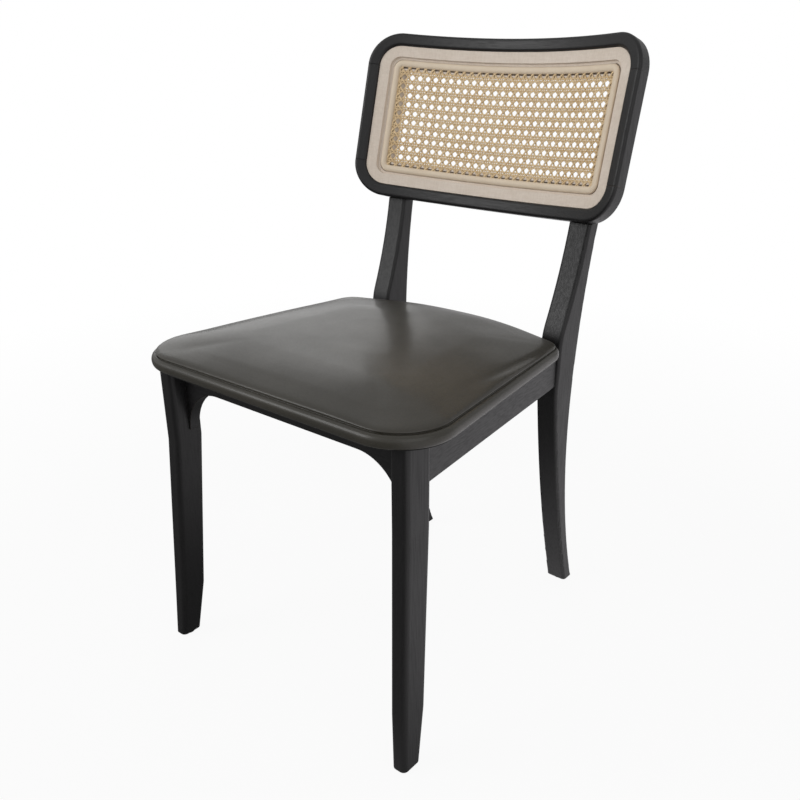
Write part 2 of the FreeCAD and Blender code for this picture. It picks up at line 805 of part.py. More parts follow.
for side, (corner, extent) in {**rail_slices(border_end), **stile_slices(border_end)}.items():
    piece = common(f"cane_frame_{side}", border_ring, box(f"cane_{side}_box", corner, extent))
    piece.Placement = RAKED
    keep(piece, f"cane_frame_{side}")

# Cane: a thin sheet on the recess, opened in a grid for the holes of its weave,
# with its edge turned down into the groove
cane_back = border_floor - s.fit_gap
cane_front = cane_back - s.cane_thickness
cane_inner = groove_end - s.fit_gap
cane_edge = cane_inner - s.cane_thickness
groove_seat = border_floor + s.groove_depth - s.fit_gap
cane_blank = common("cane_blank", panel("cane_sheet_panel", cane_edge, groove_end_corner),
                    shell("cane_sheet_shell", cane_front, cane_back))
opening_pitch_x = (s.back_half_width - cane_edge) * 2 / CANE_OPENINGS_ACROSS
opening_pitch_z = (s.back_height - cane_edge * 2) / CANE_OPENINGS_UP
opening_extent = (opening_pitch_x * CANE_OPENING_SHARE, slice_depth, opening_pitch_z * CANE_OPENING_SHARE)
first_opening = (1 - CANE_OPENING_SHARE) / 2
cane_openings = []
for column in range(CANE_OPENINGS_ACROSS):
    opening_x = cane_edge - s.back_half_width + opening_pitch_x * (column + first_opening)
    for row in range(CANE_OPENINGS_UP):
        opening_z = cane_edge + opening_pitch_z * (row + first_opening)
        cane_openings.append(box(f"cane_opening_{column}_{row}", (opening_x, slice_front, opening_z),
                                 opening_extent))
cane_sheet = cut("cane_sheet", cane_blank, *cane_openings)
cane_turn_panel = panel("cane_turn_panel", cane_edge, groove_end_corner, cane_inner, groove_end_corner)
cane_turn = common("cane_turn", cane_turn_panel, shell("cane_turn_shell", cane_front, groove_seat))
cane_panel = fuse("cane_panel", cane_sheet, cane_turn)
cane_panel.Placement = RAKED
keep(cane_panel, "cane_panel")
spline = common("cane_spline",
                panel("spline_panel", groove_inset + s.fit_gap, groove_corner,
                      cane_edge - s.fit_gap, groove_end_corner),
                shell("spline_shell", cane_front - s.spline_proud, groove_seat))
spline.Placement = RAKED
keep(spline, "cane_spline")

# Back legs: sawn to a side outline, leaning outwards, notched at the top for the back frame
def waist_radius(low, high, rear_radius_here, waist):
    """Radius of a front arc that leaves the leg a waist at middle height; above 0 it bulges backwards."""
    run = high[0] - low[0]
    rise = high[1] - low[1]
    chord = root(run * run + rise * rise)
    middle_height = (low[1] + high[1]) / 2
    bulge = knee_rear + rear_bend(rear_radius_here, middle_height) - waist - (low[0] + high[0]) / 2
    sag = bulge * rise / chord
    return chord * chord / (sag * 8) + sag / 2


foot_rear = knee_rear + rear_bend(s.shin_radius, s.glide_height)
knee_flat_low = s.rail_top - s.side_rail_height - s.knee_flat_below
knee_flat_high = s.rail_top + s.knee_flat_above
post_top = s.back_base_height + s.post_overrise
post_rear = knee_rear + rear_bend(s.post_radius, post_top)
foot_front_corner = (foot_rear - s.back_foot_depth, s.glide_height)
post_front_corner = (post_rear - s.post_depth, post_top)
flat_low_corner = (knee_front, knee_flat_low)
flat_high_corner = (knee_front, knee_flat_high)
back_leg_points = [
    foot_front_corner, (foot_rear, s.glide_height), (knee_rear, s.knee_height), (post_rear, post_top),
    post_front_corner, flat_high_corner, flat_low_corner,
]
back_leg_bends = {
    1: -s.shin_radius,
    2: -s.post_radius,
    4: -waist_radius(flat_high_corner, post_front_corner, s.post_radius, s.post_waist),
    6: -waist_radius(foot_front_corner, flat_low_corner, s.shin_radius, s.shin_waist),
}
back_leg_body = slab("back_leg_body", "YZ_Plane", back_leg_points, s.back_leg_thickness, bends=back_leg_bends,
                     both_ways=True)


def is_knee_edge(edge):
    """True for the two edges that bound the flat where the side rail meets the leg."""
    slack = float(s.fit_gap)
    return all(abs(vertex.Y - float(knee_front)) < slack for vertex in edge.Vertexes) and (
        abs(edge.Vertexes[0].Z - edge.Vertexes[-1].Z) < slack)


def is_long_edge(edge):
    """True for the edges that run up the leg's side faces."""
    side = float(s.back_leg_thickness / 2)
    slack = float(s.fit_gap)
    on_side = all(abs(abs(vertex.X) - side) < slack for vertex in edge.Vertexes)
    rises = abs(edge.Vertexes[0].Z - edge.Vertexes[-1].Z) > slack
    same_side = edge.Vertexes[0].X * edge.Vertexes[-1].X > 0
    return on_side and rises and same_side


round_off(back_leg_body, s.knee_blend, is_knee_edge)
round_off(back_leg_body, s.back_leg_round, is_long_edge)
LEANING = Rotation(Vector(0, 1, 0), float(s.back_leg_lean_angle))
back_leg_body.Placement = Placement(vector(s.back_foot_spread, 0, 0), LEANING)
notch = cylinder("post_notch", rear_radius + s.fit_gap, shell_height,
                 RAKED.multiply(Placement(vector(0, axis_y, -s.fit_gap), UP)))
trim = doc.addObject("Part::Box", "post_trim")
for path, size in zip(("Length", "Width", "Height"), (slice_width, slice_depth, shell_height)):
    bind(trim, path, size)
trim.Placement = RAKED.multiply(Placement(vector(slice_left, slice_front, s.tongue_height), UP))
raked_post_holes = group("raked_post_holes", post_holes)
raked_post_holes.Placement = RAKED
back_foot_x = back_leg_middle(s.glide_height)
back_foot_y = foot_rear - s.back_foot_depth / 2
back_glide, back_nail_hole = glide_parts("back_glide", back_foot_x, back_foot_y)
floor_trim = box("floor_trim", (0, knee_front, s.glide_height - s.cut_overrun),
                 (s.leg_spread + s.cut_overrun, s.frame_depth, s.cut_overrun))
back_leg = back_leg_body
back_leg_tools = [
    floor_trim, trim, notch, raked_post_holes, back_nail_hole,
    mortise("back_leg_side_mortise", side_back_tenon_corner, side_tenon_extent),
    mortise("back_leg_back_mortise", back_tenon_corner, back_tenon_extent),
]
for number, tool in enumerate(back_leg_tools):
    back_leg = cut(f"back_leg_{number}", back_leg, tool)
keep_pair(back_leg, "back_leg")
keep_pair(front_glide, "glide_front")
keep_pair(back_glide, "glide_back")

# Seat outline about its own middle: straight front and sides, rounded corners, bowed back
seat_depth = s.seat_overhang + s.frame_depth - s.knee_depth + s.seat_back_reach
seat_half_width = s.leg_spread + s.seat_side_overhang
seat_middle = front_edge + seat_depth / 2
seat_front = -seat_depth / 2
taper_run = knee_front - front_edge
taper_drop = seat_half_width - side_back_outer - s.side_rail_inset - s.seat_back_overhang
taper_length = root(taper_run * taper_run + taper_drop * taper_drop)
taper_sine = taper_drop / taper_length
taper_cosine = taper_run / taper_length
side_distance = seat_half_width * taper_cosine + seat_front * taper_sine
front_corner_y = seat_front + s.seat_front_corner
front_corner_x = (side_distance - s.seat_front_corner - front_corner_y * taper_sine) / taper_cosine
back_centre_y = seat_depth / 2 - s.seat_back_radius
back_reach = s.seat_back_radius - s.seat_back_corner
back_distance = side_distance - s.seat_back_corner
back_across = back_distance - back_centre_y * taper_sine
back_along = back_centre_y * taper_cosine + root(back_reach * back_reach - back_across * back_across)
back_corner_x = back_distance * taper_cosine - back_along * taper_sine
back_corner_y = back_distance * taper_sine + back_along * taper_cosine


def seat_sketch(body, inset, height, share=1):
    """The seat outline drawn in by an inset and shrunk to a share, held by its tangencies."""
    inset = as_size(inset)
    front_radius = s.seat_front_corner - inset
    corner_radius = s.seat_back_corner - inset
    back_radius_here = s.seat_back_radius - inset
    reach_share = back_radius_here.value / back_reach.value
    cos_a = taper_cosine.value
    sin_a = taper_sine.value
    right = [
        vector(front_corner_x, seat_front + inset, 0),
        vector(front_corner_x + front_radius * cos_a, front_corner_y + front_radius * sin_a, 0),
        vector(back_corner_x + corner_radius * cos_a, back_corner_y + corner_radius * sin_a, 0),
        vector(back_corner_x * reach_share, back_centre_y + (back_corner_y - back_centre_y) * reach_share, 0),
    ]
    right = [spot * share for spot in right]
    left = [Vector(-spot.x, spot.y, 0) for spot in reversed(right)]
    spots = right + left
    count = len(spots)
    (front_right, side_right, back_right, back_edge,
     back_left, side_left, front_left, front_line) = range(count)
    radii = {front_right: front_radius * share, back_right: corner_radius * share,
             back_edge: back_radius_here * share, back_left: corner_radius * share,
             front_left: front_radius * share}
    sketch = new_sketch(body, "XY_Plane", height)
    for step in range(count):
        start = spots[step]
        end = spots[(step + 1) % count]
        if step in radii:
            sketch.addGeometry(arc_between(start, end, float(radii[step])), False)
        else:
            sketch.addGeometry(Part.LineSegment(start, end), False)
    for step in range(count):
        before = (step - 1) % count
        sketch.addConstraint(Sketcher.Constraint(
            "Tangent", before, end_at(sketch, before, spots[step]), step, end_at(sketch, step, spots[step])))
    sketch.addConstraint(Sketcher.Constraint("Horizontal", front_line))
    pin(sketch, front_line, 1, "DistanceY", -1, (seat_front + inset) * share)
    for line in (side_right, side_left):
        distance = (side_distance - inset) * share
        rule = Sketcher.Constraint("Distance", -1, 1, line, distance.value)
        bind(sketch, f"Constraints[{sketch.addConstraint(rule)}]", distance)
    for step, radius in radii.items():
        rule = Sketcher.Constraint("Radius", step, radius.value)
        bind(sketch, f"Constraints[{sketch.addConstraint(rule)}]", radius)
    sketch.addConstraint(Sketcher.Constraint("PointOnObject", back_edge, 3, -2))
    pin(sketch, back_edge, 3, "DistanceY", -1, back_centre_y * share)
    for arc, spot, x in ((front_right, spots[0], front_corner_x), (front_left, spots[-1], -front_corner_x)):
        pin(sketch, arc, end_at(sketch, arc, spot), "DistanceX", -2, x * share)
    return sketch


def seat_slab(name, inset, low, high):
    body = new_body(name)
    pad(body, seat_sketch(body, inset, low), high - low)
    bind(body, "Placement.Base.y", seat_middle)
    return body


def crowned(name, inset, low, rise):
    """A cushion form: the seat outline drawn in as it rises to its crown."""
    body = new_body(name)
    sections = [seat_sketch(body, inset, low + rise * up_share, plan_share)
                for plan_share, up_share in CROWN_SHARES]
    loft = body.newObject("PartDesign::AdditiveLoft", f"{name}_loft")
    loft.Profile = sections[0]
    loft.Sections = sections[1:]
    loft.Ruled = True
    bind(body, "Placement.Base.y", seat_middle)
    doc.recompute()
    return body


def at_height(height):
    """A test for the edges of a slab's rim at a height."""
    level = float(height)
    slack = float(s.fit_gap)

    def test(edge):
        return all(abs(vertex.Z - level) < slack for vertex in edge.Vertexes)
    return test


dust_top = s.rail_top + s.dust_cover
board_low = dust_top + s.leather
board_high = board_low + s.board_thickness
band_high = board_high + s.leather


def either(first, second):
    return lambda edge: first(edge) or second(edge)


# Plywood board with rounded edges
def board(name, inset):
    body = seat_slab(name, inset, board_low, board_high)
    return round_off(body, s.board_round, either(at_height(board_low), at_height(board_high)))


seat_holes = both_sides("seat_hole", list(seat_screw_holes.values()))
keep(cut("seat_board", board("board_body", s.leather + s.fit_gap), *seat_holes), "seat_board")

# Leather band: wraps the board's edge, laps its top and turns under it
band_outer = seat_slab("band_outer", 0, dust_top, band_high)
round_off(band_outer, s.band_round, either(at_height(dust_top), at_height(band_high)))
band_tools = fuse("band_tools", board("band_hollow", s.leather),
                  seat_slab("band_top_hole", s.leather + s.band_lap + s.board_round, board_low,
                            band_high + s.leather),
                  seat_slab("band_low_hole", s.band_turn_under, dust_top - s.leather, board_high))
keep(cut("seat_band", cut("band_shell", band_outer, band_tools), *seat_holes), "seat_band")

# Foam pad and the leather top panel drawn over it
cover_inset = s.leather + s.band_lap
foam_inset = cover_inset + s.board_round + s.fit_gap
keep(crowned("foam_body", foam_inset, board_high, s.crown_height), "seat_foam")
cover_outer = crowned("cover_outer", cover_inset, band_high, s.crown_height)
cover_inner = crowned("cover_inner", cover_inset + s.leather, band_high, s.crown_height - s.leather)
keep(cut("seat_cover", cover_outer, cover_inner), "seat_cover")

# Dust cover under the board, with the crowns of its staples
dust_body = seat_slab("dust_body", s.dust_cover_inset, s.rail_top, dust_top)
keep(cut("dust_cover", dust_body, *seat_holes), "dust_cover")


def staple(name, spot, angle):
    thing = doc.addObject("Part::Box", name)
    for path, size in zip(("Length", "Width", "Height"), (s.staple_crown, s.staple_wire, s.staple_height)):
        bind(thing, path, size)
    turn = Rotation(Vector(0, 0, 1), angle)
    corner = vector(-s.staple_crown / 2, -s.staple_wire / 2, 0)
    thing.Placement = Placement(spot + turn.multVec(corner), turn)
    return thing


staple_z = s.rail_top - s.staple_height
staples = []
for number, share in enumerate(FRONT_STAPLE_SHARES):
    spot = vector(front_corner_x * share, front_edge + s.staple_inset, staple_z)
    staples.append(staple(f"front_staple_{number}", spot, 0))
side_start = vector(side_front_outer + s.staple_clear, leg_back, staple_z)
side_end = vector(side_back_outer + s.staple_clear, knee_front, staple_z)
side_run = side_end - side_start
side_angle = math.degrees(math.atan2(side_run.y, side_run.x))
side_staples = [staple(f"side_staple_{number}", side_start + side_run * share, side_angle)
                for number, share in enumerate(SIDE_STAPLE_SHARES)]
staples += both_sides("side_staple", side_staples)
staple_arc = s.seat_back_radius - s.staple_inset
for number, share in enumerate(BACK_STAPLE_SHARES):
    x = (back_inner_face - s.block_reach) * share
    y = seat_middle + back_centre_y + root(staple_arc * staple_arc - x * x)
    staples.append(staple(f"back_staple_{number}", vector(x, y, staple_z), 0))
keep(group("dust_cover_staples", staples), "dust_cover_staples")

doc.recompute()
for thing in doc.Objects:
    if "Invalid" in thing.State or "Error" in thing.State:
        raise RuntimeError(f"{thing.Label} did not build: {thing.State}")
for node in nodes:
    if node.Shape.isNull() or not node.Shape.isValid():
        raise RuntimeError(f"{node.Label} has no valid shape")
for node in nodes:
    node.Shape.exportStep(f"parts/{node.Label}.step")
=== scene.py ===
import math

import bpy
import numpy as np
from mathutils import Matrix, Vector


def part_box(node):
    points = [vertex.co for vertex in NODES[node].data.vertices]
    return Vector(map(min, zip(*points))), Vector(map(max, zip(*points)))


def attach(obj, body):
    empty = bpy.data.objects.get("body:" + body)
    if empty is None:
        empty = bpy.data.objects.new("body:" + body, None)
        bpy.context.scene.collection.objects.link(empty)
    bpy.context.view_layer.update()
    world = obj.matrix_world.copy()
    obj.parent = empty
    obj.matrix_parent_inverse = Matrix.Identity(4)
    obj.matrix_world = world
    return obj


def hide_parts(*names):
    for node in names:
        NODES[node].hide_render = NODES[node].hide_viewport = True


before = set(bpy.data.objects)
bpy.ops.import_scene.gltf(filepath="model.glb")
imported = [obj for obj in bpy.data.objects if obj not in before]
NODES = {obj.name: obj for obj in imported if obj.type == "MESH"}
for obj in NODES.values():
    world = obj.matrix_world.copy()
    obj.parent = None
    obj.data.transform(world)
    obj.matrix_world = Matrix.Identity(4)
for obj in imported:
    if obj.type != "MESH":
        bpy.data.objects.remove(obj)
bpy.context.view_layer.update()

MM = 0.001
# Places in metres that agree to the micron are the same; TINY keeps sums clear of rounding.
MICRON_DECIMALS = 6
MICRON = 10**-MICRON_DECIMALS
TINY = 1e-9

# The back frame, as the solids have it: a level arc that leans backwards.
BACK_HALF_WIDTH = 223 * MM
BACK_HEIGHT = 235.5 * MM
BACK_BOW = 50 * MM
BACK_THICKNESS = 26 * MM
BACK_EDGE_ROUND = 4 * MM
BACK_RAKE = math.radians(14.4)
BACK_RADIUS = (BACK_HALF_WIDTH**2 + BACK_BOW**2) / (2 * BACK_BOW)
BACK_AXIS = BACK_BOW - BACK_RADIUS
BACK_BASE = 605 * MM
# Its foot's place follows from its rearmost point, the rounded edge at the top of its middle.
BACK_REACH = (
    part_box("back_top_rail")[1].y
    - BACK_EDGE_ROUND
    - (BACK_BOW + BACK_THICKNESS - BACK_EDGE_ROUND) * math.cos(BACK_RAKE)
    - (BACK_HEIGHT - BACK_EDGE_ROUND) * math.sin(BACK_RAKE)
)

# The cane and its reed, measured from the outside edge of the back frame.
CANE_INSET = 42.0 * MM
CANE_RADIUS = BACK_RADIUS + 6.1 * MM
CANE_PITCH = 12.7 * MM
PAIR_SHIFT = CANE_PITCH / 8
PAIR_WIDTH = 2.2 * MM
DIAGONAL_WIDTH = 2.6 * MM
STRAND_THICKNESS = 0.8 * MM
PAIR_LIFT = 0.5 * MM
DIAGONAL_LIFT = 0.9 * MM
STEPS_PER_PITCH = 8
STRAND_SIDES = 6
REED_INSET = 41.5 * MM
REED_WIDTH = 9.8 * MM
REED_DEPTH = 6.4 * MM
REED_CORNER = 8.8 * MM
REED_STEP = 2.5 * MM
REED_SIDES = 12
REED_CORNER_POINTS = 8

# The seat's upholstery.
PAD_GRID = 72
PAD_EDGE_INSET = 2.0 * MM
# The pad's section before it swells: share of the grid's rings, share of the way in, share of the rise.
PAD_PROFILE = (
    (0, 0, 0), (0.028, -0.010, 0.1), (0.056, -0.011, 0.22), (0.083, 0, 0.335), (0.111, 0.022, 0.43),
    (0.167, 0.075, 0.55), (0.25, 0.155, 0.68), (0.5, 0.43, 0.93), (0.75, 0.71, 1.0), (1.0, 1.0, 1.0),
)
PAD_SINK = 1.0 * MM
PAD_START = 0.86
PAD_SWELL_LIMIT = 9 * MM
PAD_FRAMES = 20
PAD_SMOOTHINGS = 24
# The leather while it swells: its weight and stiffness, and the pressure from inside.
PAD_CLOTH = {
    "quality": 6, "mass": 0.4, "tension_stiffness": 30, "compression_stiffness": 30, "shear_stiffness": 12,
    "bending_stiffness": 3, "use_pressure": True, "uniform_pressure_force": 4,
}
# A tension fold in the leather beside the right edge, from the back corner forwards.
FOLD_START = (192 * MM, 64 * MM)
FOLD_END = (197 * MM, -120 * MM)
FOLD_WIDTH = 13 * MM
FOLD_DEPTH = 3.2 * MM
FOLD_RIDGE = 1.2 * MM
# Shares of the fold's length: where it starts to show and over how much, where it ends and over how much.
FOLD_FADE_IN = (-0.15, 0.3)
FOLD_FADE_OUT = (1.1, 0.7)
# Where the crease above the roll opens wider: corner, strength and reach.
GROOVES = (((216 * MM, -258 * MM), 1.0, 130 * MM), ((-216 * MM, -258 * MM), 0.3, 90 * MM))
GROOVE_INSET = 3.0 * MM
ROLL_STEPS = 320
ROLL_TOP_SINK = 1.0 * MM
# The roll's section: millimetres in from the seat's outline, and share of its height.
ROLL_SECTION = (
    (24, 0.0), (7.5, 0.0), (4.8, 0.025), (2.8, 0.085), (1.2, 0.19), (0.3, 0.34), (0.0, 0.52), (0.4, 0.7),
    (1.6, 0.86), (3.4, 0.96), (5.4, 1.0), (7.4, 1.0), (9.0, 0.995), (14.0, 0.99), (24, 0.99),
)

# Screws and staples; their places and directions are read from the solids.
SCREW_HEAD = 4.0 * MM
SCREW_HEAD_HEIGHT = 2.6 * MM
SCREW_DOME = 0.7 * MM
SCREW_CORE = 1.5 * MM
SCREW_TAPER = 0.7
SCREW_HEAD_SIDES = 28
SCREW_HEAD_SIDE_RINGS = 2
SCREW_HEAD_FACE_RINGS = 3
SCREW_CORE_SIDES = 16
THREAD_HEIGHT = 0.45 * MM
THREAD_PITCH = 1.9 * MM
THREAD_STEPS = 14
THREAD_SIDES = 3
RECESS_WIDTH = 1.0 * MM
RECESS_LENGTH = 4.6 * MM
RECESS_DEPTH = 3.0 * MM
STAPLE_WIRE = 0.9 * MM
STAPLE_LEG = 3.0 * MM
STAPLE_POINTS = 13
STAPLE_SIDES = 8
# The share of a staple's half width at which its wire turns up.
STAPLE_BEND = 0.8

# The camera, fitted to the chair's feet, seat edges and back frame in the photograph.
CAMERA_PLACE = (0.7333, -0.8771, 0.8196)
CAMERA_TURN = (math.radians(65.58), math.radians(0.07), math.radians(39.34))
CAMERA_LENS = 39.15
CAMERA_SHIFT = (-0.0114, 0.0425)
CAMERA_SENSOR = 36

# The studio: how much of the white surround lights the chair and how much its gloss sees.
WORLD_LIGHT = 0.5
GLOSS_SHARE = 0.1
FLOOR_REACH = 60.0
FLOOR_TONES = ((0.66, 0.66, 0.66), (0.68, 0.68, 0.68))
FLOOR_SPECK = 60
FLOOR_GLOW = 0.93
FLOOR_FADE = (0.7, 1.9)
# Painted reflection: the floor as the gloss sees it glows dim in front on the left, bright towards the right
# and back.
FLOOR_BRIGHT_SIDE = (0.8, 0.6, 0)
FLOOR_SIDE_FADE = (-0.1, 0.35)
FLOOR_PAINTED_REFLECTION_DARK = (0.14, 0.14, 0.14)
FLOOR_PAINTED_REFLECTION_BRIGHT = (0.9, 0.88, 0.9)
# The lamps: place and width in metres, power in watts. All face the seat.
LAMPS = {
    "key": ((-2.2, -3.2, 2.3), 2.2, 58),
    "fill": ((2.3, -1.2, 1.9), 2.4, 12),
    "window": ((-3.0, 2.2, 1.5), 2.2, 12),
}
LAMP_TARGET = Vector((0, 0, 0.45))


class Socket:
    """An output in a node tree; arithmetic on it adds Math nodes."""

    def __init__(self, tree, output):
        self.tree = tree
        self.output = output

    def sibling(self, name):
        """Another output of the same node."""
        return Socket(self.tree, self.output.node.outputs[name])

    def math(self, operation, *values):
        return self.tree.node("ShaderNodeMath", {"operation": operation}, dict(enumerate(values)))

    def __add__(self, other):
        return self.math("ADD", self, other)

    def __radd__(self, other):
        return self.math("ADD", other, self)

    def __sub__(self, other):
        return self.math("SUBTRACT", self, other)

    def __rsub__(self, other):
        return self.math("SUBTRACT", other, self)

    def __mul__(self, other):
        return self.math("MULTIPLY", self, other)

    def __rmul__(self, other):
        return self.math("MULTIPLY", other, self)

    def __truediv__(self, other):
        return self.math("DIVIDE", self, other)

    def __gt__(self, other):
        return self.math("GREATER_THAN", self, other)

    def __lt__(self, other):
        return self.math("LESS_THAN", self, other)

    def __abs__(self):
        return self.math("ABSOLUTE", self)

    def at_least(self, other):
        return self.math("MAXIMUM", self, other)

    def sine(self):
        return self.math("SINE", self)

    def cosine(self):
        return self.math("COSINE", self)


class Tree:
    """A node tree that is filled by one short call for each node."""

    def __init__(self, made):
        self.made = made
        made.nodes.clear()

    def node(self, kind, settings=None, inputs=None, output=0):
        """Adds a node, settings first and sockets next, and gives one of its outputs."""
        node = self.made.nodes.new(kind)
        for name, value in (settings or {}).items():
            setattr(node, name, value)
        for key, value in (inputs or {}).items():
            socket = node.inputs[key]
            for one in value if isinstance(value, list) else [value]:
                if isinstance(one, Socket):
                    self.made.links.new(one.output, socket)
                elif socket.type == "RGBA":
                    socket.default_value = (*one, 1.0)
                else:
                    socket.default_value = one
        return Socket(self, node.outputs[output]) if node.outputs else None


class Finish(Tree):
    """A material worked out from the piece's own Object coordinates."""

    def __init__(self, name):
        self.material = bpy.data.materials.new(name)
        self.material.use_nodes = True
        super().__init__(self.material.node_tree)
        self.place = self.node("ShaderNodeTexCoord", output="Object")

    def stretched(self, scale):
        return self.node("ShaderNodeMapping", inputs={"Vector": self.place, "Scale": scale})

    def noise(self, place, scale, detail=3.0, roughness=0.55):
        sockets = {"Vector": place, "Scale": scale, "Detail": detail, "Roughness": roughness}
        return self.node("ShaderNodeTexNoise", inputs=sockets)

    def cells(self, place, scale, feature="DISTANCE_TO_EDGE"):
        return self.node("ShaderNodeTexVoronoi", {"feature": feature}, {"Vector": place, "Scale": scale})

    def share(self, value, low, high):
        """Where value lies between low and high, from 0 to 1."""
        return self.node("ShaderNodeMapRange", inputs={"Value": value, "From Min": low, "From Max": high})

    def blend(self, share, first, second):
        return self.node("ShaderNodeMix", {"data_type": "RGBA"}, {0: share, 6: first, 7: second}, output=2)

    def bump(self, height, strength, depth, normal=None):
        sockets = {"Height": height, "Strength": strength, "Distance": depth}
        if normal:
            sockets["Normal"] = normal
        return self.node("ShaderNodeBump", inputs=sockets)

    def eased(self, radius):
        """The normal with every edge eased over this radius."""
        return self.node("ShaderNodeBevel", {"samples": 6}, {"Radius": radius})

    def edges(self, eased):
        """Near 1 along the edges that eased has turned."""
        face = self.node("ShaderNodeNewGeometry", output="Normal")
        sockets = {0: eased, 1: face}
        turned = self.node("ShaderNodeVectorMath", {"operation": "DOT_PRODUCT"}, sockets, "Value")
        return self.share(1 - turned, 0.01, 0.16)

    def surface(self, sockets):
        shader = self.node("ShaderNodeBsdfPrincipled", inputs=sockets)
        self.node("ShaderNodeOutputMaterial", inputs={"Surface": shader})
        return self.material


class Shape(Tree):
    """A Geometry Nodes tree with named inputs."""

    def __init__(self, name, inputs):
        group = bpy.data.node_groups.new(name, "GeometryNodeTree")
        group.interface.new_socket("Geometry", in_out="OUTPUT", socket_type="NodeSocketGeometry")
        for label, kind in inputs.items():
            group.interface.new_socket(label, in_out="INPUT", socket_type="NodeSocket" + kind)
        super().__init__(group)
        self.inputs = self.node("NodeGroupInput")

    def given(self, label):
        return self.inputs.sibling(label)

    def vector(self, x=0.0, y=0.0, z=0.0):
        return self.node("ShaderNodeCombineXYZ", inputs={"X": x, "Y": y, "Z": z})

    def position(self):
        """The x, y and z of each point."""
        place = self.node("GeometryNodeInputPosition")
        parts = self.node("ShaderNodeSeparateXYZ", inputs={0: place})
        return parts, parts.sibling("Y"), parts.sibling("Z")

    def close(self, geometry, material=None, smooth=True):
        """Ends the tree: real geometry, with its finish if one is given."""
        real = self.node("GeometryNodeRealizeInstances", inputs={"Geometry": geometry})
        if material:
            real = self.node("GeometryNodeSetShadeSmooth", inputs={"Geometry": real, "Shade Smooth": smooth})
            real = self.node("GeometryNodeSetMaterial", inputs={"Geometry": real, "Material": material})
        self.node("NodeGroupOutput", inputs={"Geometry": real})
        return self


def placed(name, mesh):
    """A new object at the origin that carries this mesh."""
    piece = bpy.data.objects.new(name, mesh)
    bpy.context.scene.collection.objects.link(piece)
    return piece


def grown(name, shape, values, seed_mesh=None):
    """Runs a tree once with these input values and keeps the result as a plain mesh."""
    carrier = placed(name + "_source", seed_mesh or bpy.data.meshes.new(name + "_source"))
    modifier = carrier.modifiers.new(name, "NODES")
    modifier.node_group = shape.made
    for item in shape.made.interface.items_tree:
        if item.in_out == "INPUT" and item.name in values:
            modifier[item.identifier] = values[item.name]
    graph = bpy.context.evaluated_depsgraph_get()
    mesh = bpy.data.meshes.new_from_object(carrier.evaluated_get(graph), depsgraph=graph)
    bpy.data.objects.remove(carrier)
    return placed(name, mesh)


def smooth(mesh):
    """Shades every face of a mesh smooth."""
    mesh.polygons.foreach_set("use_smooth", [True] * len(mesh.polygons))
    mesh.update()
    return mesh


def seated(piece, slot, *nodes):
    """Hangs a piece on the chair in place of these CAD nodes."""
    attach(piece, "root")
    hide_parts(*nodes)
    return piece


GRAIN = {"upright": (1.0, 1.0, 0.035), "level": (0.035, 1.0, 1.0), "deep": (1.0, 0.035, 1.0)}


def ebonised_wood(direction):
    """Black-stained wood: fine open pores along the grain, a satin coat and rubbed edges."""
    finish = Finish("ebonised_wood_" + direction)
    along = finish.stretched(GRAIN[direction])
    pores = finish.share(finish.noise(along, 620, 2.0, 0.6), 0.42, 0.66)
    figure = finish.noise(along, 62, 4.0, 0.6)
    cloud = finish.noise(finish.place, 9, 2.0)
    eased = finish.eased(2.2 * MM)
    rub = finish.edges(eased) * finish.share(cloud, 0.42, 0.62)
    black = finish.blend(figure, (0.004, 0.004, 0.0048), (0.0105, 0.0096, 0.0098))
    worn = finish.blend(rub * 0.5, black, (0.06, 0.046, 0.037))
    height = pores * -0.6 + figure * 0.4
    return finish.surface({
        "Base Color": worn,
        "Roughness": 0.36 + pores * 0.12 + cloud * 0.08,
        "Specular IOR Level": 0.45,
        "Normal": finish.bump(height, 0.22, 0.4 * MM, eased),
    })


def pale_wood():
    """Bare light wood of the band round the cane, with thin brownish grain lines."""
    finish = Finish("pale_border_wood")
    across = finish.noise(finish.stretched((0.08, 1.0, 1.0)), 420, 3.0, 0.6)
    upright = finish.noise(finish.stretched((1.0, 1.0, 0.08)), 420, 3.0, 0.6)
    cloud = finish.noise(finish.place, 26, 3.0)
    eased = finish.eased(0.8 * MM)
    lines = finish.share(across * 0.5 + upright * 0.5, 0.4, 0.66)
    plain = finish.blend(cloud, (0.80, 0.71, 0.62), (0.70, 0.60, 0.50))
    grained = finish.blend(lines * 0.3, plain, (0.50, 0.40, 0.31))
    return finish.surface({
        "Base Color": finish.blend(finish.edges(eased) * 0.35, grained, (0.84, 0.77, 0.69)),
        "Roughness": 0.5 + lines * 0.15,
        "Specular IOR Level": 0.35,
        "Normal": finish.bump(lines, 0.12, 0.3 * MM, eased),
    })


def beech():
    """Unstained beech of the hidden blocks and dowels, with its short dark flecks."""
    finish = Finish("bare_beech")
    fleck = finish.noise(finish.stretched((0.22, 1.0, 0.22)), 900, 2.0, 0.5)
    figure = finish.noise(finish.stretched((0.1, 1.0, 1.0)), 110, 4.0)
    eased = finish.eased(1.0 * MM)
    flecks = finish.share(fleck, 0.58, 0.7)
    plain = finish.blend(figure, (0.56, 0.36, 0.21), (0.44, 0.26, 0.14))
    return finish.surface({
        "Base Color": finish.blend(flecks * 0.5, plain, (0.24, 0.12, 0.06)),
        "Roughness": 0.6 + flecks * 0.1,
        "Specular IOR Level": 0.3,
        "Normal": finish.bump(figure - flecks * 0.4, 0.15, 0.3 * MM, eased),
    })


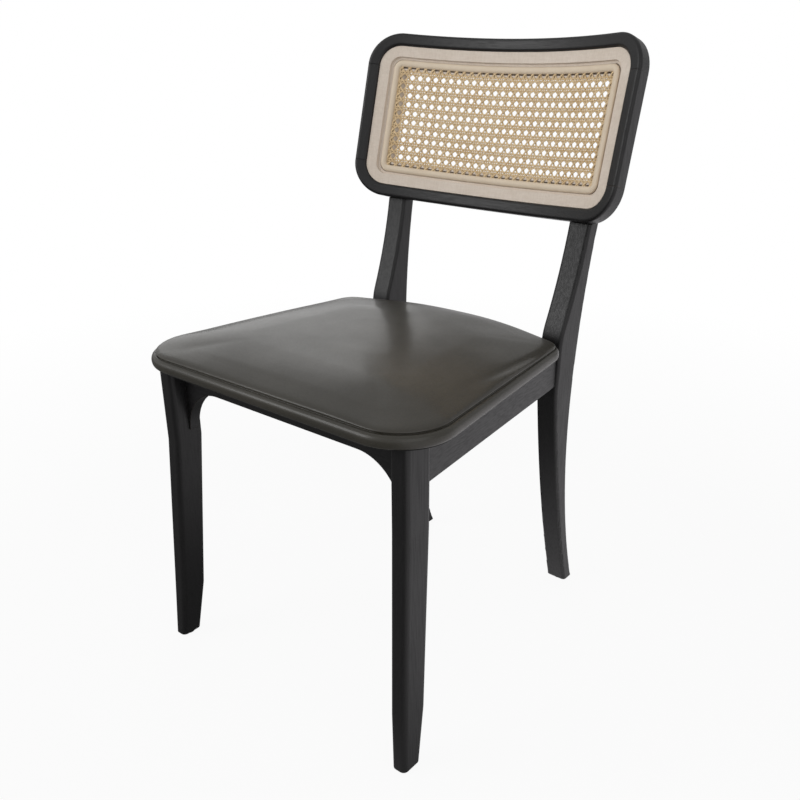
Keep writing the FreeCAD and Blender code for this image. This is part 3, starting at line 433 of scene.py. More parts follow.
def plywood():
    """Birch plywood: thin layers that show on the edge and long grain on the faces."""
    finish = Finish("birch_plywood")
    layers = finish.node(
        "ShaderNodeTexWave",
        {"wave_type": "BANDS", "bands_direction": "Z"},
        {"Vector": finish.place, "Scale": 110.0, "Distortion": 0.4, "Detail Scale": 40.0},
        output="Fac",
    )
    figure = finish.noise(finish.stretched((1.0, 0.05, 1.0)), 160, 4.0)
    plain = finish.blend(figure, (0.6, 0.45, 0.29), (0.48, 0.33, 0.19))
    return finish.surface({
        "Base Color": finish.blend(finish.share(layers, 0.5, 0.8) * 0.5, plain, (0.27, 0.16, 0.08)),
        "Roughness": 0.62 + figure * 0.12,
        "Normal": finish.bump(figure, 0.15, 0.3 * MM, finish.eased(0.6 * MM)),
    })


def zinc_steel():
    """Zinc-plated steel with a faint bloom."""
    finish = Finish("zinc_plated_steel")
    bloom = finish.noise(finish.place, 420, 4.0, 0.6)
    scratch = finish.noise(finish.stretched((1.0, 0.1, 1.0)), 2600, 2.0)
    eased = finish.eased(0.25 * MM)
    return finish.surface({
        "Base Color": finish.blend(bloom, (0.62, 0.61, 0.57), (0.42, 0.42, 0.41)),
        "Metallic": 1.0,
        "Roughness": 0.28 + bloom * 0.22,
        "Normal": finish.bump(scratch, 0.08, 0.05 * MM, eased),
    })


def glide_plastic():
    """Dark moulded plastic of the feet, scuffed dull where it meets the floor."""
    finish = Finish("glide_plastic")
    grain = finish.noise(finish.place, 1500, 3.0, 0.6)
    scuff = finish.share(finish.noise(finish.stretched((1.0, 0.2, 1.0)), 500, 3.0), 0.5, 0.7)
    eased = finish.eased(0.6 * MM)
    return finish.surface({
        "Base Color": finish.blend(scuff * 0.6, (0.02, 0.02, 0.021), (0.075, 0.072, 0.068)),
        "Roughness": 0.5 + scuff * 0.2 + grain * 0.1,
        "Specular IOR Level": 0.4,
        "Normal": finish.bump(grain, 0.12, 0.1 * MM, eased),
    })


def dust_cloth():
    """Black spunbond cloth under the seat: a felted mat of fine bonded dots, with broad patches of painted
    shade for its sag.
    """
    finish = Finish("dust_cloth")
    fibre = finish.noise(finish.place, 1300, 5.0, 0.7)
    dots = finish.share(finish.cells(finish.place, 520, "F1"), 0.25, 0.45)
    # Painted shade: broad lighter and darker patches stand in for the shading of the sagging cloth.
    sag_shade = finish.noise(finish.place, 16, 2.0)
    return finish.surface({
        "Base Color": finish.blend(fibre * 0.7 + sag_shade * 0.3, (0.013, 0.013, 0.014), (0.04, 0.039, 0.038)),
        "Roughness": 0.82 + fibre * 0.12,
        "Specular IOR Level": 0.2,
        "Normal": finish.bump(dots * 0.6 + fibre * 0.4, 0.3, 0.2 * MM),
    })


def cane_strand():
    """Split cane: glossy straw skin, each strand of its own tone, with darker nodes and fibres."""
    finish = Finish("woven_cane")
    tone = finish.node("ShaderNodeAttribute", {"attribute_name": "strand_tone"}, output="Fac")
    fibre = finish.noise(finish.place, 1700, 3.0, 0.65)
    patch = finish.noise(finish.place, 34, 3.0)
    marks = finish.share(finish.noise(finish.place, 150, 2.0), 0.62, 0.72)
    straw = finish.blend(tone, (0.80, 0.60, 0.345), (0.66, 0.46, 0.235))
    mottled = finish.blend(finish.share(patch, 0.35, 0.65) * 0.4, straw, (0.84, 0.68, 0.45))
    marked = finish.blend(marks * 0.3, mottled, (0.42, 0.26, 0.12))
    return finish.surface({
        "Base Color": finish.blend(fibre * 0.2, marked, (0.50, 0.34, 0.17)),
        "Roughness": 0.38 + fibre * 0.2,
        "Specular IOR Level": 0.45,
        "Normal": finish.bump(fibre, 0.25, 0.12 * MM),
    })


def reed():
    """Round reed that wedges the cane into its groove."""
    finish = Finish("reed")
    fibre = finish.noise(finish.place, 900, 4.0, 0.65)
    patch = finish.noise(finish.place, 40, 3.0)
    plain = finish.blend(patch, (0.84, 0.73, 0.58), (0.74, 0.61, 0.46))
    return finish.surface({
        "Base Color": finish.blend(fibre * 0.3, plain, (0.56, 0.43, 0.3)),
        "Roughness": 0.5 + fibre * 0.15,
        "Specular IOR Level": 0.35,
        "Normal": finish.bump(fibre, 0.2, 0.15 * MM),
    })


def seat_leather():
    """Dark olive-grey leather: pebbled grain, fine stretch lines and a rubbed sheen."""
    finish = Finish("seat_leather")
    warp = finish.noise(finish.place, 240, 2.0)
    pebble = finish.share(finish.cells(finish.place, 760), 0.0, 0.32)
    small = finish.noise(finish.place, 2400, 2.0, 0.6)
    patina = finish.share(finish.noise(finish.place, 7.5, 3.0, 0.6), 0.34, 0.68)
    crease = finish.share(finish.noise(finish.stretched((1.0, 0.3, 1.0)), 130, 4.0, 0.6), 0.6, 0.72)
    plain = finish.blend(patina, (0.034, 0.0300, 0.0215), (0.047, 0.0415, 0.0305))
    grained = finish.blend((1 - pebble) * 0.5, plain, (0.020, 0.0185, 0.0145))
    height = pebble * 0.7 + small * 0.2 + warp * 0.3 - crease * 0.35
    return finish.surface({
        "Base Color": finish.blend(crease * 0.2, grained, (0.026, 0.025, 0.021)),
        "Roughness": 0.46 - patina * 0.08 + (1 - pebble) * 0.12,
        "Specular IOR Level": 0.35,
        "Coat Weight": 0.4,
        "Coat Roughness": 0.2,
        "Normal": finish.bump(height, 0.2, 0.25 * MM),
    })


def dressed(material, *names):
    """Gives CAD nodes their finish."""
    for name in names:
        NODES[name].material_slots[0].material = material


def strand_set():
    """Parallel cane strands across a flat field, waved over and under along one direction."""
    shape = Shape("cane strand set", {
        "Strands": "Int", "Spacing": "Float", "Shift": "Float", "Length": "Float", "Step": "Float",
        "Turn": "Float", "Wave Direction": "Vector", "Waves": "Float", "Phase": "Float", "Lift": "Float",
        "Width": "Float", "Thickness": "Float", "Field Width": "Float", "Field Height": "Float",
        "Seed": "Int",
    })
    given = shape.given
    first = (given("Strands") - 1) * given("Spacing") * -0.5 + given("Shift")
    row = shape.node("GeometryNodeMeshLine", inputs={
        "Count": given("Strands"),
        "Start Location": shape.vector(y=first),
        "Offset": shape.vector(y=given("Spacing")),
    })
    half = given("Length") * 0.5
    line = shape.node("GeometryNodeCurvePrimitiveLine", inputs={
        "Start": shape.vector(x=half * -1), "End": shape.vector(x=half),
    })
    sockets = {"Curve": line, "Length": given("Step")}
    line = shape.node("GeometryNodeResampleCurve", {"mode": "LENGTH"}, sockets)
    strands = shape.node("GeometryNodeInstanceOnPoints", inputs={"Points": row, "Instance": line})
    index = shape.node("GeometryNodeInputIndex")
    tone = shape.node("FunctionNodeRandomValue", inputs={"ID": index, "Seed": given("Seed")}, output=1)
    strands = shape.node(
        "GeometryNodeStoreNamedAttribute",
        {"domain": "INSTANCE"},
        {"Geometry": strands, "Name": "strand_tone", "Value": tone},
    )
    strands = shape.node("GeometryNodeRealizeInstances", inputs={"Geometry": strands})
    strands = shape.node("GeometryNodeTransform", inputs={
        "Geometry": strands, "Rotation": shape.vector(z=given("Turn")),
    })
    x, y, _ = shape.position()
    outside = (abs(x) > given("Field Width") * 0.5) + (abs(y) > given("Field Height") * 0.5)
    strands = shape.node("GeometryNodeDeleteGeometry", inputs={"Geometry": strands, "Selection": outside})
    place = shape.node("GeometryNodeInputPosition")
    sockets = {0: place, 1: given("Wave Direction")}
    along = shape.node("ShaderNodeVectorMath", {"operation": "DOT_PRODUCT"}, sockets, "Value")
    wave = (along * given("Waves") + given("Phase")).sine() * given("Lift")
    strands = shape.node("GeometryNodeSetPosition", inputs={
        "Geometry": strands, "Offset": shape.vector(z=wave),
    })
    strands = shape.node("GeometryNodeSetCurveNormal", {"mode": "Z_UP"}, {"Curve": strands})
    ring = shape.node("GeometryNodeCurvePrimitiveCircle", inputs={"Resolution": STRAND_SIDES, "Radius": 0.5})
    ring = shape.node("GeometryNodeTransform", inputs={
        "Geometry": ring, "Scale": shape.vector(given("Width"), given("Thickness"), 1.0),
    })
    skin = shape.node("GeometryNodeCurveToMesh", inputs={
        "Curve": strands, "Profile Curve": ring, "Fill Caps": True,
    })
    return shape.close(skin)


def laid_on_back(shape, flat, radius):
    """Bends a flat field, its face forwards, round the back's arc and leans it with the frame."""
    x, y, z = shape.position()
    turn = x / radius
    reach = radius - z
    arc = shape.vector(reach * turn.sine(), reach * turn.cosine() + BACK_AXIS, y + BACK_HEIGHT / 2)
    bent = shape.node("GeometryNodeSetPosition", inputs={"Geometry": flat, "Position": arc})
    return shape.node("GeometryNodeTransform", inputs={
        "Geometry": bent, "Translation": (0, BACK_REACH, BACK_BASE), "Rotation": (-BACK_RAKE, 0, 0),
    })


def arc_width(inset, radius):
    """The length round the arc of a field that starts this far in from the frame's ends."""
    return 2 * radius * math.asin((BACK_HALF_WIDTH - inset) / radius)


def cane_weave(name, sets, material):
    """One piece of the six-way cane: some of its strand sets, joined and laid on the back."""
    shape = Shape(name, {"Radius": "Float"})
    group = strand_set().made
    width = arc_width(CANE_INSET, CANE_RADIUS)
    height = BACK_HEIGHT - 2 * CANE_INSET
    joined = []
    for number, values in enumerate(sets):
        field = {"Field Width": width, "Field Height": height}
        sockets = {**field, "Thickness": STRAND_THICKNESS, "Seed": number, **values}
        joined.append(shape.node("GeometryNodeGroup", {"node_tree": group}, sockets))
    flat = shape.node("GeometryNodeJoinGeometry", inputs={"Geometry": joined})
    shape.close(laid_on_back(shape, flat, shape.given("Radius")), material)
    return grown(name, shape, {"Radius": CANE_RADIUS})


def cane_sets():
    """The strand sets of the six-way pattern: pairs across, pairs upright and two diagonals."""
    width = arc_width(CANE_INSET, CANE_RADIUS)
    height = BACK_HEIGHT - 2 * CANE_INSET
    waves = 2 * math.pi / CANE_PITCH
    step = CANE_PITCH / STEPS_PER_PITCH
    rows = int(height / CANE_PITCH) // 2 * 2 + 1
    columns = int(width / CANE_PITCH) // 2 * 2 + 1
    pairs = []
    for side in (-1, 1):
        shared = {"Spacing": CANE_PITCH, "Step": step, "Waves": waves, "Width": PAIR_WIDTH}
        pairs.append({
            **shared, "Strands": rows, "Shift": side * PAIR_SHIFT, "Length": width,
            "Wave Direction": (1, 0, 0), "Lift": side * PAIR_LIFT,
        })
        pairs.append({
            **shared, "Strands": columns, "Shift": side * PAIR_SHIFT, "Length": height,
            "Turn": math.pi / 2, "Wave Direction": (0, 1, 0), "Lift": side * PAIR_LIFT,
        })
    spacing = CANE_PITCH / math.sqrt(2)
    longest = math.hypot(width, height)
    diagonals = []
    for side in (-1, 1):
        diagonals.append({
            "Strands": int(longest / spacing) // 2 * 2, "Spacing": spacing, "Length": longest,
            "Step": step * math.sqrt(2), "Turn": side * math.pi / 4, "Wave Direction": (1, 0, 0),
            "Waves": waves, "Phase": math.pi / 2, "Lift": side * DIAGONAL_LIFT, "Width": DIAGONAL_WIDTH,
        })
    return pairs, diagonals


def reed_ring(material):
    """The reed, swept round the cane's edge."""
    shape = Shape("reed ring", {
        "Width": "Float", "Height": "Float", "Corner": "Float", "Reed Width": "Float",
        "Reed Depth": "Float", "Step": "Float", "Radius": "Float",
    })
    given = shape.given
    path = shape.node("GeometryNodeCurvePrimitiveQuadrilateral", inputs={
        "Width": given("Width"), "Height": given("Height"),
    })
    path = shape.node("GeometryNodeFilletCurve", {"mode": "POLY"}, {
        "Curve": path, "Count": REED_CORNER_POINTS, "Radius": given("Corner"),
    })
    sockets = {"Curve": path, "Length": given("Step")}
    path = shape.node("GeometryNodeResampleCurve", {"mode": "LENGTH"}, sockets)
    path = shape.node("GeometryNodeSetCurveNormal", {"mode": "Z_UP"}, {"Curve": path})
    ring = shape.node("GeometryNodeCurvePrimitiveCircle", inputs={"Resolution": REED_SIDES, "Radius": 0.5})
    ring = shape.node("GeometryNodeTransform", inputs={
        "Geometry": ring, "Scale": shape.vector(given("Reed Width"), given("Reed Depth"), 1.0),
    })
    skin = shape.node("GeometryNodeCurveToMesh", inputs={"Curve": path, "Profile Curve": ring})
    shape.close(laid_on_back(shape, skin, given("Radius")), material)
    return grown("cane_reed", shape, {
        "Width": arc_width(REED_INSET, CANE_RADIUS), "Height": BACK_HEIGHT - 2 * REED_INSET,
        "Corner": REED_CORNER, "Reed Width": REED_WIDTH, "Reed Depth": REED_DEPTH, "Step": REED_STEP,
        "Radius": CANE_RADIUS,
    })


def islands(node):
    """The separate solids of a node, each as an array of its points."""
    mesh = NODES[node].data
    keys = [tuple(round(c, MICRON_DECIMALS) for c in v.co) for v in mesh.vertices]
    group = {key: key for key in keys}

    def chief(key):
        while group[key] != key:
            key = group[key]
        return key

    for edge in mesh.edges:
        first, second = (chief(keys[i]) for i in edge.vertices)
        group[first] = second
    solids = {}
    for key in group:
        solids.setdefault(chief(key), []).append(key)
    return [np.array(solids[name]) for name in sorted(solids)]


def long_axis(points):
    """The middle of some points and the direction in which they reach furthest."""
    middle = (points.min(axis=0) + points.max(axis=0)) / 2
    return middle, np.linalg.svd(points - points.mean(axis=0))[2][0]


def marked_points(name, places, axes):
    """A mesh of bare points, each with the direction of its own axis."""
    mesh = bpy.data.meshes.new(name)
    mesh.from_pydata([tuple(p) for p in places], [], [])
    axis = mesh.attributes.new("axis", "FLOAT_VECTOR", "POINT")
    axis.data.foreach_set("vector", np.array(axes).ravel())
    return mesh


def turned_copies(shape, form, axis_letter):
    """Sets a form on every marked point, with one of its axes along the point's own."""
    sockets = {"Name": "axis"}
    axis = shape.node("GeometryNodeInputNamedAttribute", {"data_type": "FLOAT_VECTOR"}, sockets)
    turn = shape.node("FunctionNodeAlignRotationToVector", {"axis": axis_letter}, {"Vector": axis})
    return shape.node("GeometryNodeInstanceOnPoints", inputs={
        "Points": shape.given("Geometry"), "Instance": form, "Rotation": turn,
    })


def screw_form(shape):
    """A cross-head wood screw: domed head with its recess, core and thread, point along +Z."""
    given = shape.given
    head = shape.node("GeometryNodeMeshCylinder", inputs={
        "Vertices": SCREW_HEAD_SIDES, "Side Segments": SCREW_HEAD_SIDE_RINGS,
        "Fill Segments": SCREW_HEAD_FACE_RINGS, "Radius": SCREW_HEAD, "Depth": given("Head Height"),
    })
    x, y, z = shape.position()
    outside = z < 0
    flat = 1 - (x * x + y * y) * (1 / SCREW_HEAD**2)
    head = shape.node("GeometryNodeSetPosition", inputs={
        "Geometry": head, "Offset": shape.vector(z=outside * flat * -SCREW_DOME),
    })
    bars = [
        shape.node("GeometryNodeMeshCube", inputs={"Size": (RECESS_LENGTH, RECESS_WIDTH, RECESS_DEPTH)}),
        shape.node("GeometryNodeMeshCube", inputs={"Size": (RECESS_WIDTH, RECESS_LENGTH, RECESS_DEPTH)}),
    ]
    cross = shape.node("GeometryNodeJoinGeometry", inputs={"Geometry": bars})
    cross = shape.node("GeometryNodeTransform", inputs={
        "Geometry": cross, "Translation": shape.vector(z=given("Head Height") * -0.5 - SCREW_DOME / 2),
    })
    head = shape.node(
        "GeometryNodeMeshBoolean", {"operation": "DIFFERENCE"}, {"Mesh 1": head, "Mesh 2": cross},
    )
    head = shape.node("GeometryNodeTransform", inputs={
        "Geometry": head, "Translation": shape.vector(z=given("Head Height") * 0.5),
    })
    run = given("Length") - given("Head Height")
    core = shape.node("GeometryNodeMeshCone", inputs={
        "Vertices": SCREW_CORE_SIDES, "Radius Top": SCREW_CORE * SCREW_TAPER, "Radius Bottom": SCREW_CORE,
        "Depth": run,
    })
    core = shape.node("GeometryNodeTransform", inputs={
        "Geometry": core, "Translation": shape.vector(z=given("Head Height")),
    })
    thread = shape.node("GeometryNodeCurveSpiral", inputs={
        "Resolution": THREAD_STEPS, "Rotations": run / given("Pitch"), "Start Radius": SCREW_CORE,
        "End Radius": SCREW_CORE * SCREW_TAPER, "Height": run,
    })
    thread = shape.node("GeometryNodeTransform", inputs={
        "Geometry": thread, "Translation": shape.vector(z=given("Head Height")),
    })
    ridge = shape.node("GeometryNodeCurvePrimitiveCircle", inputs={
        "Resolution": THREAD_SIDES, "Radius": THREAD_HEIGHT,
    })
    thread = shape.node("GeometryNodeCurveToMesh", inputs={
        "Curve": thread, "Profile Curve": ridge, "Fill Caps": True,
    })
    return shape.node("GeometryNodeJoinGeometry", inputs={"Geometry": [head, core, thread]})


def cross_head_screws(node, material):
    """Screws in place of a node's plain ones, each along its own solid."""
    heads, axes, length = [], [], 0
    for points in islands(node):
        middle, axis = long_axis(points)
        along = (points - middle) @ axis
        wide = np.linalg.norm(points - middle - np.outer(along, axis), axis=1)
        if along[wide.argmax()] > 0:
            axis, along = -axis, -along
        heads.append(middle + axis * along.min())
        axes.append(axis)
        length = along.max() - along.min()
    shape = Shape("cross head screws", {
        "Geometry": "Geometry", "Length": "Float", "Head Height": "Float", "Pitch": "Float",
    })
    shape.close(turned_copies(shape, screw_form(shape), "Z"), material, smooth=False)
    values = {"Length": length, "Head Height": SCREW_HEAD_HEIGHT, "Pitch": THREAD_PITCH}
    name = "cross_head_" + node
    return grown(name, shape, values, marked_points(name, heads, axes))


def staple_row(material):
    """Wire staples in place of the plain ones, crowns on the cloth and legs turned up into the board."""
    middles, axes = zip(*(long_axis(points) for points in islands("dust_cover_staples")))
    crown = np.ptp(islands("dust_cover_staples")[0] @ axes[0])
    shape = Shape("staple row", {"Geometry": "Geometry", "Crown": "Float", "Leg": "Float", "Wire": "Float"})
    half = shape.given("Crown") * 0.5
    wire = shape.node("GeometryNodeCurvePrimitiveLine", inputs={
        "Start": shape.vector(x=half * -1), "End": shape.vector(x=half),
    })
    wire = shape.node("GeometryNodeResampleCurve", inputs={"Curve": wire, "Count": STAPLE_POINTS})
    x, _, _ = shape.position()
    out = (abs(x) / half - STAPLE_BEND).at_least(0) / (1 - STAPLE_BEND)
    wire = shape.node("GeometryNodeSetPosition", inputs={
        "Geometry": wire, "Offset": shape.vector(z=out * out * shape.given("Leg")),
    })
    ring = shape.node("GeometryNodeCurvePrimitiveCircle", inputs={
        "Resolution": STAPLE_SIDES, "Radius": shape.given("Wire") * 0.5,
    })
    form = shape.node("GeometryNodeCurveToMesh", inputs={
        "Curve": wire, "Profile Curve": ring, "Fill Caps": True,
    })
    shape.close(turned_copies(shape, form, "X"), material)
    values = {"Crown": float(crown), "Leg": STAPLE_LEG, "Wire": STAPLE_WIRE}
    return grown("staple_row", shape, values, marked_points("staple_row", middles, axes))


def plan_outline(node):
    """The outside of a node seen from above, corner points in turn, starting at the front middle."""
    points = sorted({
        (round(v.co.x, MICRON_DECIMALS), round(v.co.y, MICRON_DECIMALS)) for v in NODES[node].data.vertices
    })

    def half(run):
        kept = []
        for point in run:
            while len(kept) > 1:
                (ax, ay), (bx, by) = kept[-2], kept[-1]
                if (bx - ax) * (point[1] - ay) - (by - ay) * (point[0] - ax) > 0:
                    break
                kept.pop()
            kept.append(point)
        return kept[:-1]

    ring = np.array(half(points) + half(points[::-1]))
    start = np.array([[0.0, ring[:, 1].min()]])
    from_start = np.arctan2(ring[:, 1] - ring[:, 1].mean(), ring[:, 0])
    order = np.argsort((from_start + math.pi / 2) % (2 * math.pi))
    ring = ring[order]
    return np.vstack([start, ring[np.abs(ring[:, 0]) > MICRON], start])


def along_outline(ring, shares):
    """Points at these shares of the way round a closed outline."""
    lengths = np.concatenate([[0.0], np.cumsum(np.linalg.norm(np.diff(ring, axis=0), axis=1))])
    wanted = np.asarray(shares) % 1.0 * lengths[-1]
    return np.column_stack([np.interp(wanted, lengths, ring[:, axis]) for axis in (0, 1)])


def outward(points):
    """Unit directions that point out of a closed run of points."""
    step = np.roll(points, -1, axis=0) - np.roll(points, 1, axis=0)
    step /= np.linalg.norm(step, axis=1)[:, None]
    return np.column_stack([step[:, 1], -step[:, 0]])


def opening(points):
    """How far the crease above the roll is open at these places, from 0 to 1."""
    shares = [
        strength * np.exp(-np.sum((points - np.array(corner)) ** 2, axis=1) / reach**2)
        for corner, strength, reach in GROOVES
    ]
    return np.max(shares, axis=0)


def round_square(u, v):
    """How far round a square its rim points lie, from 0 to 1, counted from the middle of its front."""
    quarter = 1 / 4
    sides = [v <= -1 + TINY, u >= 1 - TINY, v >= 1 - TINY, u <= -1 + TINY]
    shares = [quarter * (number + run / 2) for number, run in enumerate((u + 1, v + 1, 1 - u, 1 - v))]
    return np.select(sides, shares, 0.0) - quarter / 2


def pad_grid():
    """The top of the seat's crowned cover as a grid, each point's reach from its middle, and its base."""
    low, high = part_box("seat_cover")
    ring = plan_outline("seat_cover")
    middle = np.array([0.0, (low.y + high.y) / 2])
    axis = np.linspace(-1.0, 1.0, PAD_GRID + 1)
    across, along = np.meshgrid(axis, axis, indexing="ij")
    reach = np.maximum(np.abs(across), np.abs(along))
    safe = np.where(reach > 0, reach, 1.0)
    edge = along_outline(ring, round_square(across / safe, along / safe).ravel())
    inset = PAD_EDGE_INSET + GROOVE_INSET * opening(edge)
    edge -= middle
    edge *= 1 - inset[:, None] / np.linalg.norm(edge, axis=1)[:, None]
    rings, insets, rises = zip(*PAD_PROFILE)
    from_rim = 1 - reach.ravel()
    plan = middle + edge * (1 - np.interp(from_rim, rings, insets))[:, None]
    base = low.z - PAD_SINK
    rise = np.interp(from_rim, rings, rises) * (high.z - base) * PAD_START
    top = np.column_stack([plan, base + rise])
    return top, reach.ravel(), base


def swollen_pad(material):
    """Lets pressure swell the cover, held along its edge, then sets its crown at the solid's height."""
    top, reach, base = pad_grid()
    count = PAD_GRID + 1
    rim = reach > 1 - TINY
    under = np.where(rim, np.arange(count**2), count**2 + np.cumsum(~rim) - 1)
    bottom = top[~rim].copy()
    bottom[:, 2] = base
    faces = []
    for i in range(PAD_GRID):
        for j in range(PAD_GRID):
            corners = [i * count + j, (i + 1) * count + j, (i + 1) * count + j + 1, i * count + j + 1]
            faces.append(corners)
            faces.append([int(under[c]) for c in reversed(corners)])
    mesh = bpy.data.meshes.new("seat_pad")
    mesh.from_pydata(np.vstack([top, bottom]).tolist(), [], faces)
    smooth(mesh)
    mesh.materials.append(material)
    pad = placed("seat_pad", mesh)
    start = np.array([v.co for v in mesh.vertices])
    swell(pad, np.concatenate([rim, np.ones(len(bottom), bool)]))
    moved = np.array([v.co for v in mesh.vertices]) - start
    far = np.linalg.norm(moved, axis=1)
    moved *= np.minimum(1.0, PAD_SWELL_LIMIT / np.maximum(far, TINY))[:, None]
    field = moved[:count**2].reshape(count, count, 3)
    for _ in range(PAD_SMOOTHINGS):
        around = field[:-2, 1:-1] + field[2:, 1:-1] + field[1:-1, :-2] + field[1:-1, 2:]
        field[1:-1, 1:-1] = around / 4
    ends = start + moved
    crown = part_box("seat_cover")[1].z
    ends[:, 2] = base + (ends[:, 2] - base) * (crown - base) / (ends[:, 2].max() - base)
    mesh.vertices.foreach_set("co", ends.ravel())
    mesh.update()
    made_finer(pad)
    press_fold(pad.data, base)
    return pad


def made_finer(piece):
    """Divides a piece once and keeps the result as its plain mesh."""
    finer = piece.modifiers.new("finer", "SUBSURF")
    finer.levels = 1
    finer.render_levels = 1
    graph = bpy.context.evaluated_depsgraph_get()
    mesh = bpy.data.meshes.new_from_object(piece.evaluated_get(graph), depsgraph=graph)
    piece.modifiers.remove(finer)
    piece.data = mesh


def press_fold(mesh, base):
    """Presses the tension fold into the pad's top: a soft valley that fades out forwards."""
    places = np.array([v.co for v in mesh.vertices])
    start, end = np.array(FOLD_START), np.array(FOLD_END)
    run = end - start
    from_start = places[:, :2] - start
    share = from_start @ run / (run @ run)
    side = (from_start[:, 0] * run[1] - from_start[:, 1] * run[0]) / np.linalg.norm(run)
    valley = np.exp(-((side / FOLD_WIDTH * 2) ** 2)) * FOLD_DEPTH
    valley -= np.exp(-((side / FOLD_WIDTH * 2 + 2) ** 2)) * FOLD_RIDGE
    rising = (share - FOLD_FADE_IN[0]) / FOLD_FADE_IN[1]
    falling = (FOLD_FADE_OUT[0] - share) / FOLD_FADE_OUT[1]
    fade = np.clip(np.minimum(rising, falling), 0, 1)
    fade = fade * fade * (3 - 2 * fade)
    on_top = np.clip((places[:, 2] - base) / FOLD_WIDTH, 0, 1)
    places[:, 2] -= valley * fade * on_top
    mesh.vertices.foreach_set("co", places.ravel())
    mesh.update()


def swell(pad, held):
    """Runs the cloth, with the held points pinned, and keeps its last frame in the mesh."""
    group = pad.vertex_groups.new(name="held")
    group.add([int(i) for i in np.flatnonzero(held)], 1.0, "REPLACE")
    cloth = pad.modifiers.new("swell", "CLOTH")
    for setting, value in PAD_CLOTH.items():
        setattr(cloth.settings, setting, value)
    cloth.settings.vertex_group_mass = "held"
    cloth.settings.effector_weights.gravity = 0
    cloth.collision_settings.use_collision = False
    scene = bpy.context.scene
    for number in range(1, PAD_FRAMES + 1):
        scene.frame_set(number)
    graph = bpy.context.evaluated_depsgraph_get()
    shaped = pad.evaluated_get(graph).to_mesh()
    places = np.zeros(len(shaped.vertices) * 3)
    shaped.vertices.foreach_get("co", places)
    pad.evaluated_get(graph).to_mesh_clear()
    pad.modifiers.remove(cloth)
    pad.vertex_groups.remove(group)
    pad.data.vertices.foreach_set("co", places)
    scene.frame_set(1)


def edge_roll(material):
    """The rolled leather edge of the seat: one soft section swept round the outline."""
    low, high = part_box("seat_band")
    ring = plan_outline("seat_band")
    points = along_outline(ring, np.arange(ROLL_STEPS) / ROLL_STEPS)
    away = outward(points)
    tall = high.z - low.z - ROLL_TOP_SINK
    count = len(ROLL_SECTION)
    places = []
    for point, way in zip(points, away):
        for inset, share in ROLL_SECTION:
            x, y = point - way * inset * MM
            places.append((x, y, low.z + share * tall))
    faces = []
    for i in range(ROLL_STEPS):
        after = (i + 1) % ROLL_STEPS
        for j in range(count):
            next_j = (j + 1) % count
            faces.append((i * count + j, after * count + j, after * count + next_j, i * count + next_j))
    mesh = bpy.data.meshes.new("seat_roll")
    mesh.from_pydata(places, [], faces)
    mesh.materials.append(material)
    roll = placed("seat_roll", smooth(mesh))
    finer = roll.modifiers.new("finer", "SUBSURF")
    finer.levels = 1
    finer.render_levels = 1
    return roll


def white_surround():
    """A white world for the camera that lights the chair only in part and shows little in its gloss."""
    world = bpy.data.worlds.new("white surround")
    world.use_nodes = True
    bpy.context.scene.world = world
    sky = Tree(world.node_tree)
    seen = sky.node("ShaderNodeLightPath", output="Is Camera Ray")
    straight = seen.at_least(seen.sibling("Is Transmission Ray"))
    straight = straight.at_least(seen.sibling("Is Glossy Ray") * GLOSS_SHARE)
    light = WORLD_LIGHT + straight * (1 - WORLD_LIGHT)
    back = sky.node("ShaderNodeBackground", inputs={"Color": (1, 1, 1), "Strength": light})
    sky.node("ShaderNodeOutputWorld", inputs={"Surface": back})


def floor_finish():
    """Pale ground that glows white for the camera, keeps the shadow, is clear from below and shows the gloss
    a painted reflection.
    """
    finish = Finish("pale_floor")
    speck = finish.noise(finish.place, FLOOR_SPECK, 2.0)
    diffuse = finish.node("ShaderNodeBsdfDiffuse", inputs={"Color": finish.blend(speck, *FLOOR_TONES)})
    glow = finish.node("ShaderNodeEmission", inputs={"Color": (1, 1, 1), "Strength": 1.0})
    seen = finish.node("ShaderNodeLightPath", output="Is Camera Ray")
    middle = finish.node("ShaderNodeVectorMath", {"operation": "LENGTH"}, {0: finish.place}, "Value")
    share = FLOOR_GLOW + finish.share(middle, *FLOOR_FADE) * (1 - FLOOR_GLOW)
    mixed = finish.node("ShaderNodeMixShader", inputs={0: seen * share, 1: diffuse, 2: glow})
    # Painted reflection: for glossy rays the floor glows from dim at the front left to bright at the right
    # and back.
    sockets = {0: finish.place, 1: FLOOR_BRIGHT_SIDE}
    side = finish.node("ShaderNodeVectorMath", {"operation": "DOT_PRODUCT"}, sockets, "Value")
    tone = finish.blend(finish.share(side, *FLOOR_SIDE_FADE), FLOOR_PAINTED_REFLECTION_DARK, FLOOR_PAINTED_REFLECTION_BRIGHT)
    painted_reflection = finish.node("ShaderNodeEmission", inputs={"Color": tone, "Strength": 1.0})
    glossy = seen.sibling("Is Glossy Ray")
    mixed = finish.node("ShaderNodeMixShader", inputs={0: glossy, 1: mixed, 2: painted_reflection})
    below = finish.node("ShaderNodeNewGeometry", output="Backfacing")
    clear = finish.node("ShaderNodeBsdfTransparent")
    mixed = finish.node("ShaderNodeMixShader", inputs={0: below, 1: mixed, 2: clear})
    finish.node("ShaderNodeOutputMaterial", inputs={"Surface": mixed})
    return finish.material


def pale_floor():
    """The ground the chair stands on, wide enough to have no visible edge."""
    mesh = bpy.data.meshes.new("floor")
    square = ((-1, -1), (1, -1), (1, 1), (-1, 1))
    mesh.from_pydata([(x * FLOOR_REACH, y * FLOOR_REACH, 0) for x, y in square], [], [(0, 1, 2, 3)])
    mesh.materials.append(floor_finish())
    placed("floor", mesh)


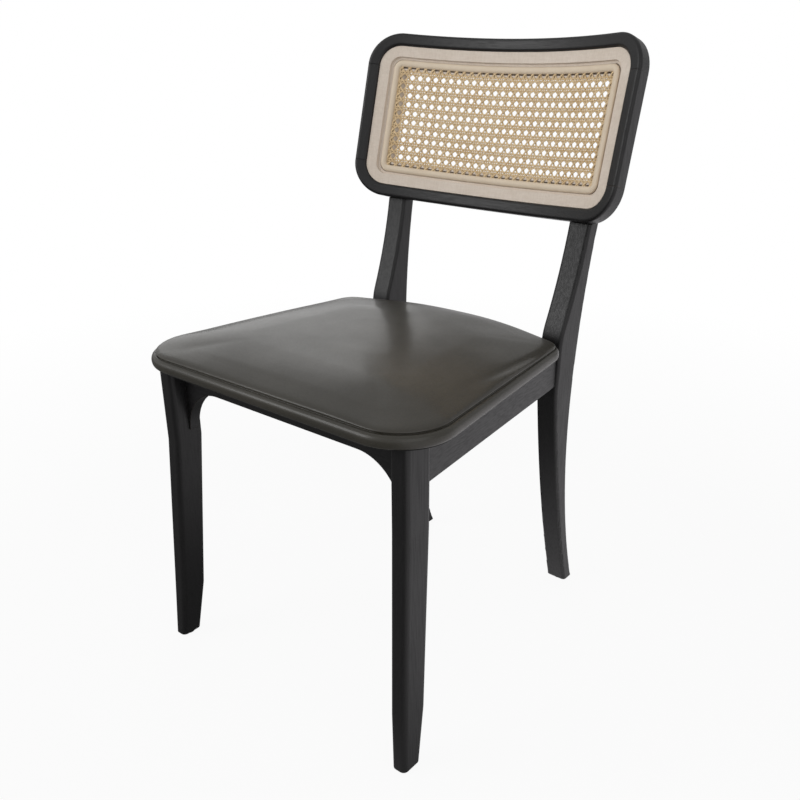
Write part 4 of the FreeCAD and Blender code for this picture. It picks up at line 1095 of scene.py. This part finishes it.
def lamps():
    """Soft square lamps that face the seat."""
    for name, (place, size, power) in LAMPS.items():
        lamp = bpy.data.lights.new(name, "AREA")
        lamp.size = size
        lamp.energy = power
        light = bpy.data.objects.new(name, lamp)
        bpy.context.scene.collection.objects.link(light)
        light.location = place
        light.rotation_euler = (LAMP_TARGET - Vector(place)).to_track_quat("-Z", "Y").to_euler()


def camera():
    """The camera at the photograph's angle."""
    lens = bpy.data.cameras.new("camera")
    lens.sensor_width = CAMERA_SENSOR
    lens.lens = CAMERA_LENS
    lens.shift_x, lens.shift_y = CAMERA_SHIFT
    view = bpy.data.objects.new("camera", lens)
    bpy.context.scene.collection.objects.link(view)
    view.location = CAMERA_PLACE
    view.rotation_euler = CAMERA_TURN
    bpy.context.scene.camera = view


bpy.context.scene.view_settings.view_transform = "Standard"
white_surround()
pale_floor()
lamps()
camera()

upright_wood = ebonised_wood("upright")
level_wood = ebonised_wood("level")
deep_wood = ebonised_wood("deep")
dressed(
    upright_wood,
    "front_leg_right", "front_leg_left", "back_leg_right", "back_leg_left",
    "back_stile_right", "back_stile_left",
)
dressed(level_wood, "front_rail", "back_rail", "back_top_rail", "back_bottom_rail")
dressed(deep_wood, "side_rail_right", "side_rail_left")
dressed(pale_wood(), "cane_frame_top", "cane_frame_bottom", "cane_frame_left", "cane_frame_right")
dressed(
    beech(),
    "corner_block_front_right", "corner_block_front_left",
    "corner_block_back_right", "corner_block_back_left", "back_dowels",
)
dressed(plywood(), "seat_board")
steel = zinc_steel()
for screws in ("block_screws", "seat_screws", "post_screws"):
    seated(cross_head_screws(screws, steel), "fastener_steel", screws)
seated(staple_row(steel), "fastener_steel", "dust_cover_staples")
dressed(glide_plastic(), "glide_front_right", "glide_front_left", "glide_back_right", "glide_back_left")
dressed(dust_cloth(), "dust_cover")

cane = cane_strand()
pair_sets, diagonal_sets = cane_sets()
seated(cane_weave("cane_pairs", pair_sets, cane), "cane", "cane_panel")
seated(cane_weave("cane_diagonals", diagonal_sets, cane), "cane", "cane_panel")
seated(reed_ring(reed()), "reed", "cane_spline")

leather = seat_leather()
seat_pad = swollen_pad(leather)
seated(seat_pad, "leather", "seat_cover", "seat_foam")
seat_roll = edge_roll(leather)
seated(seat_roll, "leather", "seat_band")
